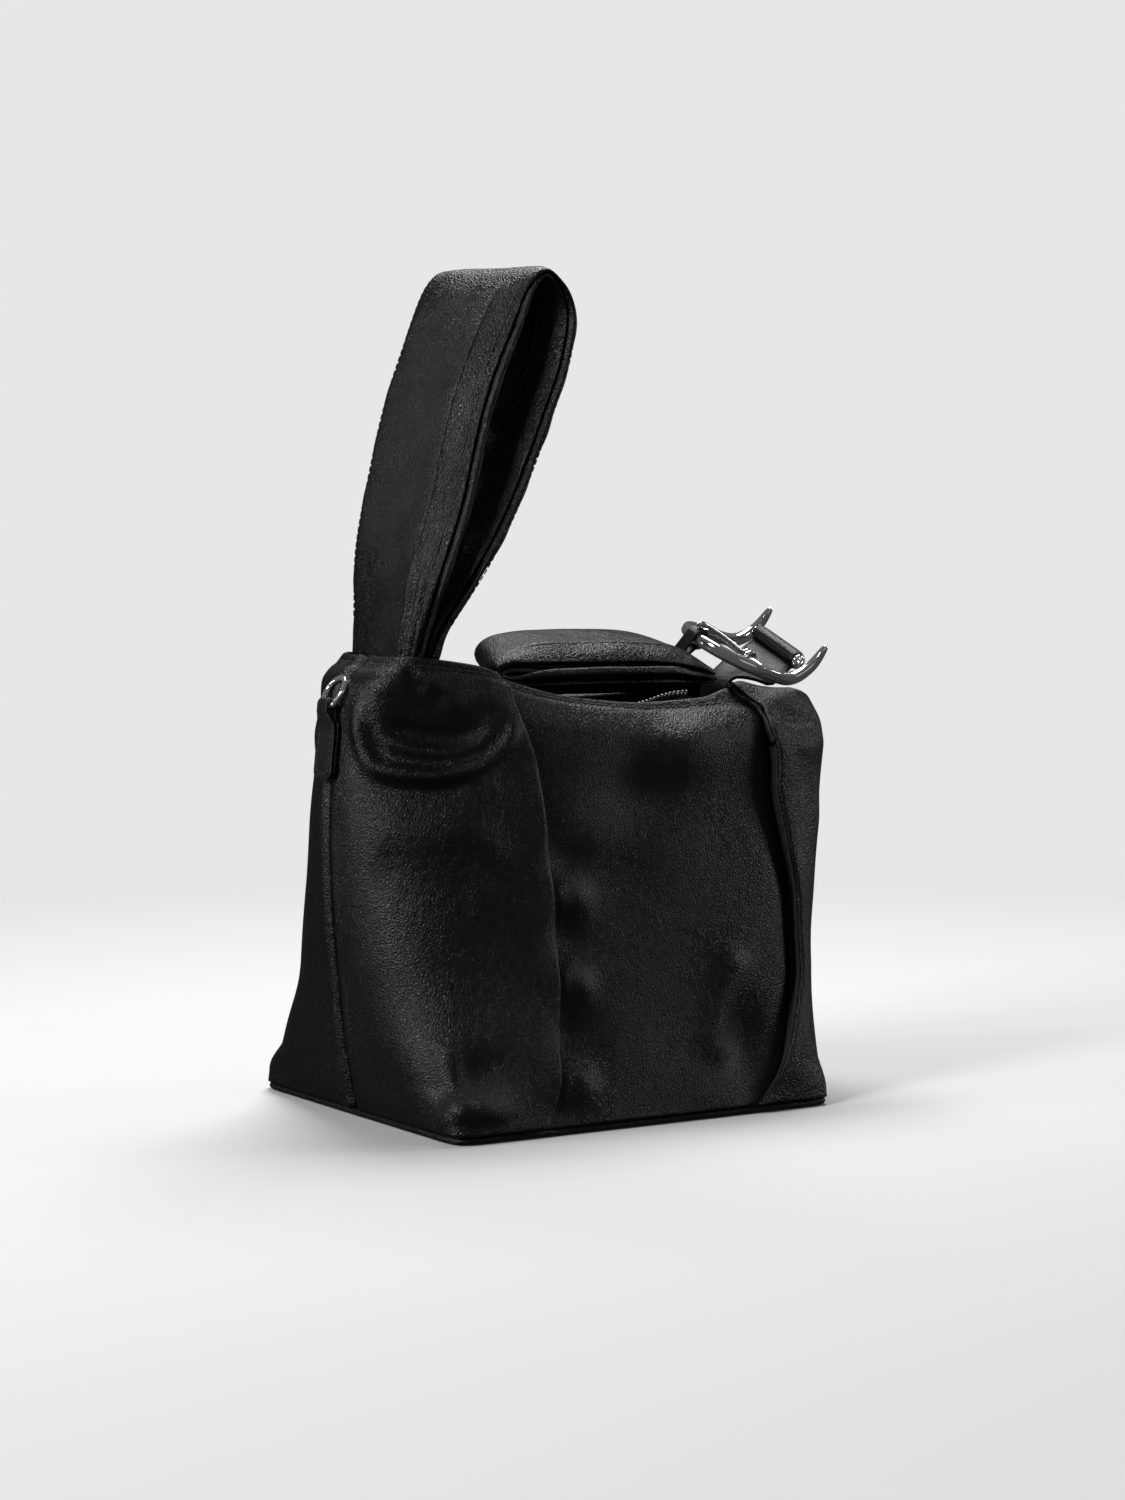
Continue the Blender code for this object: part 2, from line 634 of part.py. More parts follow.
def build_buckle():
    place = buckle_matrix()
    pivot = make_empty("buckle_hinge", BUCKLE_PLACE, BUCKLE_TURN)
    frame = add_buckle_frame(place)
    bar_length = 2 * (HORSESHOE_RADIUS - FRAME_HALF_WIDTH - GAP)
    upper = add_cylinder("buckle_upper_bar", UPPER_BAR_RADIUS, bar_length, "chrome", place)
    lower_place = place @ Matrix.Translation((LOWER_BAR_X, 0.0, HORSESHOE_HEIGHT))
    lower = add_cylinder("buckle_lower_bar", LOWER_BAR_RADIUS, bar_length, "chrome", lower_place, 12)
    hang_on(pivot, frame, upper, lower)
    tongue_pivot = make_empty("tongue_hinge", lower_place.translation, BUCKLE_TURN)
    hang_on(pivot, tongue_pivot)
    hang_on(tongue_pivot, add_tongue(place))
    add_chape(place)
    build_short_handle(place, pivot)


def build_short_handle(place, buckle_pivot):
    closed_end = place @ Vector((HORSESHOE_MIDDLE - HORSESHOE_RADIUS, 0.0, HORSESHOE_HEIGHT))
    pivot = make_empty("short_handle_hinge", closed_end, BUCKLE_TURN)
    hang_on(buckle_pivot, pivot)
    sleeve, core = add_band("short_handle", *short_band())
    hang_on(pivot, sleeve, core, add_handle_loop(place))


# D-rings

def ring_curve(name):
    """A D of wire in the YZ plane: a straight bar along Y at the origin and an arch above it."""
    curve = bpy.data.curves.new(name, "CURVE")
    curve.dimensions = "3D"
    curve.bevel_depth = RING_WIRE
    curve.bevel_resolution = 2
    arch_height = RING_HEIGHT - 2 * RING_WIRE
    corner = 0.0018
    points = [(-RING_HALF_WIDTH + corner, 0.0), (0.0, 0.0), (RING_HALF_WIDTH - corner, 0.0)]
    for angle in np.radians(np.linspace(-18.0, 198.0, 15)):
        y = RING_HALF_WIDTH * math.cos(angle)
        z = arch_height - RING_HALF_WIDTH + RING_HALF_WIDTH * math.sin(angle)
        points.append((y, z))
    spline = curve.splines.new("POLY")
    spline.points.add(len(points) - 1)
    for item, (y, z) in zip(spline.points, points):
        item.co = (0.0, y, z, 1.0)
    spline.use_cyclic_u = True
    return curve


def add_ring(name, place, lean):
    ring = add_object(name, ring_curve(name), "chrome")
    ring.location = place
    ring.rotation_euler = (0.0, math.radians(lean), 0.0)
    return ring


def add_tab(name, place, lean, outward):
    """A strip folded round the ring's straight bar, both layers led down the bag's end."""
    radius = RING_WIRE + GAP + TAB_THICKNESS / 2
    flat = TAB_THICKNESS + GAP
    profile = [(radius, -TAB_LENGTH), (radius, -0.5 * TAB_LENGTH), (radius, -0.0030)]
    profile += [(radius * math.cos(turn), radius * math.sin(turn)) for turn in np.linspace(0.0, math.pi, 9)]
    profile += [(-radius, -0.0030), (radius - flat - 0.0004, -0.0085), (radius - flat, -0.5 * TAB_LENGTH),
                (radius - flat, -TAB_LENGTH)]
    grid = []
    for x, z in profile:
        width = TAB_NECK_WIDTH if z > -0.006 else TAB_WIDTH
        grid.append([(outward * x, side * width / 2, z) for side in (-1.0, 0.0, 1.0)])
    tab = add_shell(name, np.array(grid), TAB_THICKNESS, "trim_leather", offset=0.0)
    tab.location = place
    tab.rotation_euler = (0.0, math.radians(lean), 0.0)
    return tab


def build_rings():
    add_ring("left_d_ring", LEFT_RING_PLACE, LEFT_RING_LEAN)
    add_tab("left_ring_tab", LEFT_RING_PLACE, LEFT_TAB_LEAN, 1.0)
    add_ring("right_d_ring", RIGHT_RING_PLACE, RIGHT_RING_LEAN)
    add_tab("right_ring_tab", RIGHT_RING_PLACE, RIGHT_TAB_LEAN, -1.0)


# Zip

def zip_height(x):
    """Top of the teeth: under the rim, and level where the two rows are closed."""
    return rim_height(max(x, ZIP_LEVEL_FROM)) - ZIP_DROP


def zip_grid(low, high, side):
    """A strip that stands up along one side of the mouth, between two depths under the rim."""
    route = through(ZIP_ROUTE, 22)
    line = [(x, side * y, zip_height(x)) for x, y in route]
    return np.array([[(x, y, z - depth) for x, y, z in line] for depth in (low, high)])


def build_zip():
    for side, place in ((-1.0, "front"), (1.0, "back")):
        teeth = zip_grid(TEETH_HEIGHT, 0.0, side)
        tape = zip_grid(TEETH_HEIGHT + GAP + TAPE_HEIGHT, TEETH_HEIGHT + GAP, side)
        add_shell(place + "_zip_teeth", teeth, TEETH_THICKNESS, "zip_metal", offset=0.0)
        add_shell(place + "_zip_tape", tape, TAPE_THICKNESS, "zip_tape", offset=0.0)
    low = zip_height(SLIDER_X) + GAP
    add_block("zip_slider", SLIDER_SIZE, (SLIDER_X, 0.0, low + SLIDER_SIZE[2] / 2), "zip_metal", 0.0008)
    flat = low + SLIDER_SIZE[2] + GAP + PULLER_SIZE[2] / 2
    pivot = make_empty("zip_puller_hinge", (SLIDER_X, 0.0, flat))
    puller = add_block("zip_puller", PULLER_SIZE, (SLIDER_X - PULLER_SIZE[0] / 2, 0.0, flat), "zip_metal", 0.0004)
    hang_on(pivot, puller)


clear_scene()
PART, CUTTERS = make_collections()
MATERIAL = {name: make_material(name) for name in MATERIALS}
build_body()
build_long_handle()
build_buckle()
build_rings()
build_zip()
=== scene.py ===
"""Looks for a small black leather handbag with a tall padded loop handle and a horned chrome buckle.

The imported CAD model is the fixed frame. The leather body, its lining and base, the two padded handles, the
straps, the stitching, the zip and the smooth chrome parts are built around it and ride on its bodies.
Lengths are in metres: +Z up, X along the bag, front face towards -Y.
"""

import math

import bmesh
import bpy
import numpy as np
from mathutils import Euler, Matrix, Vector


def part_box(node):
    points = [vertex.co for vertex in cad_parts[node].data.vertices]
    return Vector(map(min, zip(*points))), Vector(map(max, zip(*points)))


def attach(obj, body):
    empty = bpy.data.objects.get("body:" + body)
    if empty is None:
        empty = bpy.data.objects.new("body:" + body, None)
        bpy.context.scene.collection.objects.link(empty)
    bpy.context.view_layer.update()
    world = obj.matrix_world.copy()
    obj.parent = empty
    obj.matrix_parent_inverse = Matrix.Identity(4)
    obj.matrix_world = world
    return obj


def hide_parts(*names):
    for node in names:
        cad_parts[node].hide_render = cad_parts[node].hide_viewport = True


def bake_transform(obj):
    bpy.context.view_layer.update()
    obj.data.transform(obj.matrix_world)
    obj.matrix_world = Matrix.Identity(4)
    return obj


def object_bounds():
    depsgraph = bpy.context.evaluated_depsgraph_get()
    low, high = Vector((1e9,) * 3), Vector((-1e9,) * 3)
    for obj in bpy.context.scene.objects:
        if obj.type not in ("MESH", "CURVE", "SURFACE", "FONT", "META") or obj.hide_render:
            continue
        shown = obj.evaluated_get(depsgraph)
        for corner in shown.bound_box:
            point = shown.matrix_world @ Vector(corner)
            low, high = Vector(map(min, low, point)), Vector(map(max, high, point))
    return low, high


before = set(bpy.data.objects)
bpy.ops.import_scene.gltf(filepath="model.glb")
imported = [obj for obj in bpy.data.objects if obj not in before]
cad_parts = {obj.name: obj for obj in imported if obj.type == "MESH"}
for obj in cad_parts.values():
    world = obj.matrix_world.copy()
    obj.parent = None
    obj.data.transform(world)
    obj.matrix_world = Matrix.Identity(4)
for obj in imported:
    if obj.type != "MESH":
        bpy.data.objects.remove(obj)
CAD_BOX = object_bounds()

# Body: control curves against height, 0 at the base and 1 at the rim, close to the CAD shells' own
BASE_HALF_LENGTH = 0.099
BASE_HALF_DEPTH = 0.089
PANEL_FOOT = 0.0036
LEFT_END = ((0.0, BASE_HALF_LENGTH), (0.2, 0.106), (0.6, 0.112), (0.85, 0.1085), (0.94, 0.1045),
            (1.0, 0.0925))
RIGHT_END = ((0.0, BASE_HALF_LENGTH), (0.2, 0.106), (0.5, 0.119), (0.75, 0.131), (0.88, 0.135), (0.96, 0.130),
             (1.0, 0.100))
LEFT_DEPTH = ((0.0, BASE_HALF_DEPTH), (0.25, 0.071), (0.5, 0.056), (0.75, 0.044), (1.0, 0.034))
RIGHT_DEPTH = ((0.0, BASE_HALF_DEPTH), (0.25, 0.076), (0.5, 0.065), (0.75, 0.055), (0.9, 0.050), (1.0, 0.034))
LEFT_SQUARENESS = ((0.0, 24.0), (0.1, 7.0), (0.3, 3.8), (0.8, 3.0), (1.0, 6.0))
RIGHT_SQUARENESS = ((0.0, 24.0), (0.1, 10.0), (0.3, 6.0), (0.8, 5.0), (1.0, 4.5))
RIM_HEIGHT = ((-0.086, 0.2035), (-0.055, 0.199), (-0.031, 0.190), (0.0, 0.1835), (0.031, 0.181),
              (0.064, 0.182), (0.088, 0.1875), (0.100, 0.1865))
END_BLEND = 0.22
FINE = 481
BODY_ROWS = 156
FLAP_COLUMNS = 84
CENTRE_COLUMNS = 120
LEATHER = 0.0012
RIM_ROLL = 0.0013
FACING_DEPTH = 0.12
PANEL_GAP = 0.0002
CLOTH = 0.0005

# Pleats: the visible fold edge as (share of the row from the left seam, height)
LEFT_PLEAT = ((0.352, 0.0), (0.367, 0.06), (0.368, 0.19), (0.365, 0.37), (0.360, 0.51), (0.348, 0.665),
              (0.333, 0.78), (0.318, 0.865), (0.306, 0.93), (0.304, 1.0))
RIGHT_PLEAT = ((0.655, 0.0), (0.698, 0.08), (0.738, 0.195), (0.770, 0.335), (0.772, 0.48), (0.755, 0.635),
               (0.738, 0.79), (0.742, 0.90), (0.775, 0.965), (0.835, 1.0))


def smooth(points, at):
    """Values of the monotone cubic curve through (place, value) points."""
    places, values = np.array(points, float).T
    slopes = np.diff(values) / np.diff(places)
    before, after = slopes[:-1], slopes[1:]
    total = np.where(before * after > 0, before + after, 1.0)
    inner = np.where(before * after > 0, 2 * before * after / total, 0.0)
    tangents = np.concatenate([slopes[:1], inner, slopes[-1:]])
    at = np.clip(np.asarray(at, float), places[0], places[-1])
    k = np.clip(np.searchsorted(places, at, "right") - 1, 0, len(places) - 2)
    span = places[k + 1] - places[k]
    u = (at - places[k]) / span
    start = (1 + 2 * u) * (1 - u) ** 2 * values[k] + u * (1 - u) ** 2 * span * tangents[k]
    end = u * u * (3 - 2 * u) * values[k + 1] + u * u * (u - 1) * span * tangents[k + 1]
    return start + end


def evenly(points, count):
    """The given number of points, evenly spaced along a polyline."""
    points = np.asarray(points, float)
    steps = np.linalg.norm(np.diff(points, axis=0), axis=1)
    length = np.concatenate([[0.0], np.cumsum(steps)])
    places = np.linspace(0.0, length[-1], count)
    return np.stack([np.interp(places, length, axis) for axis in points.T], axis=1)


def spline(a, b, c, d, u):
    """The point at share u between b and c on the Catmull-Rom curve through all four."""
    return 0.5 * (2 * b + (c - a) * u + (2 * a - 5 * b + 4 * c - d) * u ** 2
                  + (3 * b - a - 3 * c + d) * u ** 3)


def through(points, count, fine=24):
    """Evenly spaced points on a Catmull-Rom curve through the given ones."""
    points = np.asarray(points, float)
    ends = np.vstack([2 * points[0] - points[1], points, 2 * points[-1] - points[-2]])
    dense = []
    for a, b, c, d in zip(ends, ends[1:], ends[2:], ends[3:]):
        for u in np.linspace(0.0, 1.0, fine, endpoint=False):
            dense.append(spline(a, b, c, d, u))
    dense.append(points[-1])
    return evenly(dense, count)


def unit(vectors):
    return vectors / np.maximum(np.linalg.norm(vectors, axis=-1, keepdims=True), 1e-12)


def full_turn(count):
    """Evenly spaced angles once round a circle."""
    return np.linspace(0.0, 2 * math.pi, count + 1)[:-1]


def squared(value, power):
    """A sine or cosine pushed out towards a rounded box. A power of 1 leaves it on the circle."""
    return np.sign(value) * np.abs(value) ** power


def middle_and_half(low, high):
    return (low + high) / 2, (high - low) / 2


def ease(value):
    value = np.clip(value, 0.0, 1.0)
    return value * value * (3 - 2 * value)


# Mesh helpers

WELD = 1e-7
SHARP_ANGLE = math.radians(50)


def linked(name, data, material=None):
    """An object in the scene that shows the given mesh, light or camera."""
    item = bpy.data.objects.new(name, data)
    bpy.context.scene.collection.objects.link(item)
    if material:
        data.materials.append(material)
    return item


def new_object(name, mesh, material, body, *replaced, slot=None):
    item = linked(name, mesh, material)
    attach(item, body)
    if replaced:
        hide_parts(*replaced)
    return item


def grid_mesh(name, grid, wrap=False, caps=False):
    """A mesh of quads through a grid of points. A wrapped grid's rows close into rings."""
    rows, columns = grid.shape[:2]
    index = np.arange(rows * columns).reshape(rows, columns)
    right = np.roll(index, -1, axis=1)
    quads = np.stack([index[:-1], right[:-1], right[1:], index[1:]], axis=-1)
    if not wrap:
        quads = quads[:, :-1]
    faces = quads.reshape(-1, 4).tolist()
    if caps:
        faces += [index[0, ::-1].tolist(), index[-1].tolist()]
    mesh = bpy.data.meshes.new(name)
    mesh.from_pydata(grid.reshape(-1, 3).tolist(), [], faces)
    mesh.update()
    mesh.shade_smooth()
    return mesh


def face_outward(mesh, weld=False):
    """Turns every face outward, and joins points that lie on one another if asked."""
    form = bmesh.new()
    form.from_mesh(mesh)
    if weld:
        bmesh.ops.remove_doubles(form, verts=form.verts, dist=WELD)
    bmesh.ops.recalc_face_normals(form, faces=form.faces)
    form.to_mesh(mesh)
    form.free()


def solid(name, rings):
    """A closed solid through a stack of rings of points."""
    mesh = grid_mesh(name, np.array(rings), wrap=True, caps=True)
    face_outward(mesh)
    return mesh


def ring_solid(name, rings):
    """A solid whose rings follow one another round a loop and meet at the start."""
    rings = np.array(rings)
    mesh = grid_mesh(name, np.concatenate([rings, rings[:1]]), wrap=True)
    face_outward(mesh, weld=True)
    mesh.shade_smooth()
    return mesh


def mesh_of(name, form):
    """Turns the faces of a finished bmesh outward and makes a smooth mesh of it."""
    bmesh.ops.recalc_face_normals(form, faces=form.faces)
    mesh = bpy.data.meshes.new(name)
    form.to_mesh(mesh)
    form.free()
    mesh.shade_smooth()
    return mesh


def thicken(item, thickness, offset=-1.0):
    """Gives a sheet its thickness, to the inside, or to both sides alike if the offset is 0."""
    wall = item.modifiers.new("thickness", "SOLIDIFY")
    wall.thickness = thickness
    wall.offset = offset
    wall.use_even_offset = False


def keep_place(mesh):
    """Stores each point's place at rest, so a grain stays put on a piece that bends."""
    places = np.empty(len(mesh.vertices) * 3, dtype=np.float32)
    mesh.vertices.foreach_get("co", places)
    layer = mesh.attributes.new("rest_place", "FLOAT_VECTOR", "POINT")
    layer.data.foreach_set("vector", places)


# Materials

LEATHER_SHEEN = 0.42
FINE_CELLS = 2.3
METALLIC = 0.88


def start_material(name, base, roughness, metallic=0.0):
    material = bpy.data.materials.new(name)
    material.use_nodes = True
    shader = material.node_tree.nodes["Principled BSDF"]
    shader.inputs["Base Color"].default_value = (*base, 1.0)
    shader.inputs["Roughness"].default_value = roughness
    shader.inputs["Metallic"].default_value = metallic
    return material, material.node_tree, shader


def feed(tree, socket, value):
    """Links another node's output to a socket, or sets the socket to a plain value."""
    if isinstance(value, bpy.types.NodeSocket):
        tree.links.new(value, socket)
    else:
        socket.default_value = value


def add_node(tree, kind, **values):
    """A new node, with its inputs and its own settings given by name."""
    node = tree.nodes.new(kind)
    for key, value in values.items():
        if key in node.inputs:
            feed(tree, node.inputs[key], value)
        else:
            setattr(node, key, value)
    return node


def place_output(tree, kept):
    if kept:
        return add_node(tree, "ShaderNodeAttribute", attribute_name="rest_place").outputs["Vector"]
    return tree.nodes.new("ShaderNodeTexCoord").outputs["Object"]


def ramp(tree, source, low, high, low_value, high_value):
    """Maps a value from one range to another, held at its ends."""
    node = tree.nodes.new("ShaderNodeMapRange")
    for key, value in (("From Min", low), ("From Max", high), ("To Min", low_value), ("To Max", high_value),
                       ("Value", source)):
        feed(tree, node.inputs[key], value)
    return node.outputs["Result"]


def math_node(tree, operation, a, b):
    node = add_node(tree, "ShaderNodeMath", operation=operation)
    for socket, value in zip(node.inputs, (a, b)):
        feed(tree, socket, value)
    return node.outputs["Value"]


def two_tone(tree, shader, source, dark, light, stops=(0.0, 1.0)):
    """Colours the surface from a dark tone to a light one as the source rises."""
    node = add_node(tree, "ShaderNodeValToRGB", Fac=source)
    for element, tone, stop in zip(node.color_ramp.elements, (dark, light), stops):
        element.color = (*tone, 1.0)
        element.position = stop
    feed(tree, shader.inputs["Base Color"], node.outputs["Color"])


def add_bump(tree, shader, height, distance, strength):
    node = add_node(tree, "ShaderNodeBump", Height=height, Distance=distance, Strength=strength)
    feed(tree, shader.inputs["Normal"], node.outputs["Normal"])


def times(colour, factor):
    return tuple(channel * factor for channel in colour)


def leather(name, cell=0.0014, depth=0.00018, rough=0.30, shade=0.0022, kept=False):
    """Black pebbled leather: cells of two sizes parted by fine creases, painted shade in the creases, and a
    slow change of gloss.
    """
    material, tree, shader = start_material(name, (shade, shade, shade * 1.05), rough)
    shader.inputs["Specular IOR Level"].default_value = LEATHER_SHEEN
    place = place_output(tree, kept)
    warp = add_node(tree, "ShaderNodeTexNoise", Vector=place, Scale=0.35 / cell, Detail=2.0)
    shift = add_node(tree, "ShaderNodeVectorMath", operation="MULTIPLY_ADD")
    for socket, value in zip(shift.inputs, (warp.outputs["Color"], (cell * 1.3,) * 3, place)):
        feed(tree, socket, value)
    edges = []
    for scale in (1 / cell, FINE_CELLS / cell):
        cells = add_node(tree, "ShaderNodeTexVoronoi", Vector=shift.outputs["Vector"], Scale=scale,
                         feature="DISTANCE_TO_EDGE")
        edges.append(cells.outputs["Distance"])
    pebble = ramp(tree, edges[0], 0.0, 0.32, 0.0, 1.0)
    grain = ramp(tree, edges[1], 0.0, 0.25, 0.0, 1.0)
    height = math_node(tree, "ADD", pebble, math_node(tree, "MULTIPLY", grain, 0.30))
    slow = add_node(tree, "ShaderNodeTexNoise", Vector=place, Scale=22.0, Detail=3.0).outputs["Fac"]
    add_bump(tree, shader, height, depth, ramp(tree, slow, 0.35, 0.65, 0.70, 1.0))
    gloss = ramp(tree, slow, 0.3, 0.7, rough - 0.05, rough + 0.06)
    crease = ramp(tree, edges[0], 0.0, 0.12, 0.16, 0.0)
    feed(tree, shader.inputs["Roughness"], math_node(tree, "ADD", gloss, crease))
    # Base colour dark in the creases between cells and lighter on the cell tops: painted shade in the creases
    two_tone(tree, shader, edges[0], (shade * 0.5, shade * 0.5, shade * 0.52),
             (shade * 1.25, shade * 1.25, shade * 1.3), (0.0, 0.25))
    return material


def cloth(name, colour, pitch=0.0005):
    """Plain woven cloth, with painted shade between the threads."""
    material, tree, shader = start_material(name, colour, 0.8)
    place = place_output(tree, False)
    heights = []
    for direction in ("X", "Z"):
        wave = add_node(tree, "ShaderNodeTexWave", Vector=place, Scale=0.16 / pitch, Distortion=0.4,
                        bands_direction=direction)
        heights.append(wave.outputs["Fac"])
    weave = math_node(tree, "MULTIPLY", *heights)
    add_bump(tree, shader, weave, 0.0001, 0.6)
    # Colour darker where the weave sinks between the threads and lighter on the raised threads: painted shade
    # between the threads
    two_tone(tree, shader, weave, times(colour, 0.6), times(colour, 1.5))
    return material


def metal(name, colour, rough):
    """Polished or satin metal with faint handling marks."""
    material, tree, shader = start_material(name, colour, rough, METALLIC)
    marks = add_node(tree, "ShaderNodeTexNoise", Vector=place_output(tree, False), Scale=180.0, Detail=4.0)
    dull = ramp(tree, marks.outputs["Fac"], 0.4, 0.75, rough, rough + 0.10)
    feed(tree, shader.inputs["Roughness"], dull)
    two_tone(tree, shader, marks.outputs["Fac"], times(colour, 0.92), colour)
    return material


def thread(name, colour):
    """Twisted sewing thread."""
    material, tree, shader = start_material(name, colour, 0.5)
    wave = add_node(tree, "ShaderNodeTexWave", Vector=place_output(tree, False), Scale=900.0, Distortion=1.0,
                    bands_direction="DIAGONAL")
    add_bump(tree, shader, wave.outputs["Fac"], 0.00008, 0.6)
    feed(tree, shader.inputs["Roughness"], ramp(tree, wave.outputs["Fac"], 0.0, 1.0, 0.42, 0.60))
    return material


def fibre_board(name, colour):
    material, tree, shader = start_material(name, colour, 0.85)
    noise = add_node(tree, "ShaderNodeTexNoise", Vector=place_output(tree, False), Scale=400.0, Detail=6.0)
    two_tone(tree, shader, noise.outputs["Fac"], times(colour, 0.6), times(colour, 1.3))
    return material


BODY_LEATHER = leather("body_leather")
STRAP_LEATHER = leather("strap_leather", kept=True)
TRIM_LEATHER = leather("trim_leather", depth=0.00014, rough=0.38, shade=0.0045)
LINING_CLOTH = cloth("lining_cloth", (0.022, 0.022, 0.025))
TAPE_CLOTH = cloth("tape_cloth", (0.012, 0.012, 0.013), pitch=0.0004)
CHROME = metal("chrome", (0.95, 0.95, 0.96), 0.06)
ZIP_METAL = metal("zip_metal", (0.30, 0.30, 0.31), 0.24)
THREAD = thread("thread", (0.030, 0.030, 0.032))
BOARD = fibre_board("board", (0.20, 0.18, 0.15))


# Body surface

def base_surface(heights):
    """Dense rows of the front half's plain surface, from the left seam round the front to the right."""
    angle = np.linspace(0.0, math.pi, FINE)
    along = -np.cos(angle)

    def outline(height):
        left = smooth(LEFT_END, height)
        right = smooth(RIGHT_END, height)
        squareness = np.where(along < 0, smooth(LEFT_SQUARENESS, height), smooth(RIGHT_SQUARENESS, height))
        power = 2 / squareness
        x = (right - left) / 2 + (right + left) / 2 * squared(along, power)
        share = ease(0.5 + x / END_BLEND)
        depth = (1 - share) * smooth(LEFT_DEPTH, height) + share * smooth(RIGHT_DEPTH, height)
        y = -depth * np.abs(np.sin(angle)) ** power
        y[0] = y[-1] = 0.0
        return evenly(np.stack([x, y], axis=1), FINE)

    top = smooth(RIM_HEIGHT, outline(1.0)[:, 0])
    rows = []
    for height in heights:
        line = outline(height)
        rows.append(np.column_stack([line, PANEL_FOOT + height * (top - PANEL_FOOT)]))
    return np.array(rows)


HEIGHTS = np.linspace(0.0, 1.0, BODY_ROWS)
SURFACE = base_surface(HEIGHTS)
NORMALS = unit(np.cross(np.gradient(SURFACE, axis=1), np.gradient(SURFACE, axis=0)))
SHARES = np.linspace(0.0, 1.0, FINE)
ROW_LENGTH = np.linalg.norm(np.diff(SURFACE, axis=1), axis=2).sum(axis=1)


def on_surface(field, share, height):
    """Bilinear reading of a dense field at shares and heights between 0 and 1."""
    row = np.clip(np.asarray(height, float), 0, 1) * (BODY_ROWS - 1)
    column = np.clip(np.asarray(share, float), 0, 1) * (FINE - 1)
    i = np.clip(row.astype(int), 0, BODY_ROWS - 2)
    j = np.clip(column.astype(int), 0, FINE - 2)
    a, b = (row - i)[..., None], (column - j)[..., None]
    low = field[i, j] * (1 - b) + field[i, j + 1] * b
    high = field[i + 1, j] * (1 - b) + field[i + 1, j + 1] * b
    return low * (1 - a) + high * a


def distance_to(points, route):
    """Distance of every point to a polyline in space, and the share of the way along it."""
    best = np.full(points.shape[:-1], 1e9)
    where = np.zeros(points.shape[:-1])
    for k, (a, b) in enumerate(zip(route, route[1:])):
        line = b - a
        t = np.clip(((points - a) @ line) / max(line @ line, 1e-12), 0.0, 1.0)
        gap = np.linalg.norm(points - a - t[..., None] * line, axis=-1)
        closer = gap < best
        best = np.where(closer, gap, best)
        where = np.where(closer, (k + t) / (len(route) - 1), where)
    return best, where


class Relief:
    """Bumps, hollows and ridges on the body, in metres along its normal. Places are (share, height)."""

    def __init__(self, points):
        self.points = points
        self.amount = np.zeros(points.shape[:-1])

    def blob(self, share, height, amount, wide, tall, lean=0.0):
        """A soft mound or hollow. Wide is along the row and tall up the panel."""
        centre = on_surface(SURFACE, share, height)
        step = 0.01
        across = unit(on_surface(SURFACE, share + step, height) - on_surface(SURFACE, share - step, height))
        up = unit(np.cross(on_surface(NORMALS, share, height), across))
        turn = math.radians(lean)
        first = across * math.cos(turn) + up * math.sin(turn)
        second = up * math.cos(turn) - across * math.sin(turn)
        offset = self.points - centre
        spread = ((offset @ first) / wide) ** 2 + ((offset @ second) / tall) ** 2
        normal = on_surface(NORMALS, share, height)
        self.amount += amount * np.exp(-spread - ((offset @ normal) / 0.03) ** 2)

    def ridge(self, places, amount, width, fade=0.2):
        """A rounded ridge or valley along a route, dying out at both ends."""
        route = through([on_surface(SURFACE, share, height) for share, height in places], 40)
        gap, where = distance_to(self.points, route)
        ends = ease(where / fade) * ease((1 - where) / fade)
        self.amount += amount * ends * np.exp(-(gap / width) ** 2)


def undulate(relief, amount):
    """The slow unevenness of soft leather."""
    x, y, z = np.moveaxis(relief.points, -1, 0)
    wave = np.sin(61 * x + 1.3) * np.sin(47 * z + 0.4) + 0.6 * np.sin(113 * x - 71 * z + 2.0 + 40 * y)
    wave += 0.5 * np.sin(83 * y + 29 * x) * np.sin(97 * z + 1.1)
    relief.amount += amount * wave


def raised(places, rise):
    return tuple((share, height + rise) for share, height in places)


def halfway(first, second):
    return tuple(((a[0] + b[0]) / 2, (a[1] + b[1]) / 2) for a, b in zip(first, second))


# Relief tables: a ridge is (places, amount, width, fade), and a blob is (share, height, amount, wide, tall,
# lean). Fade and lean may be left out.

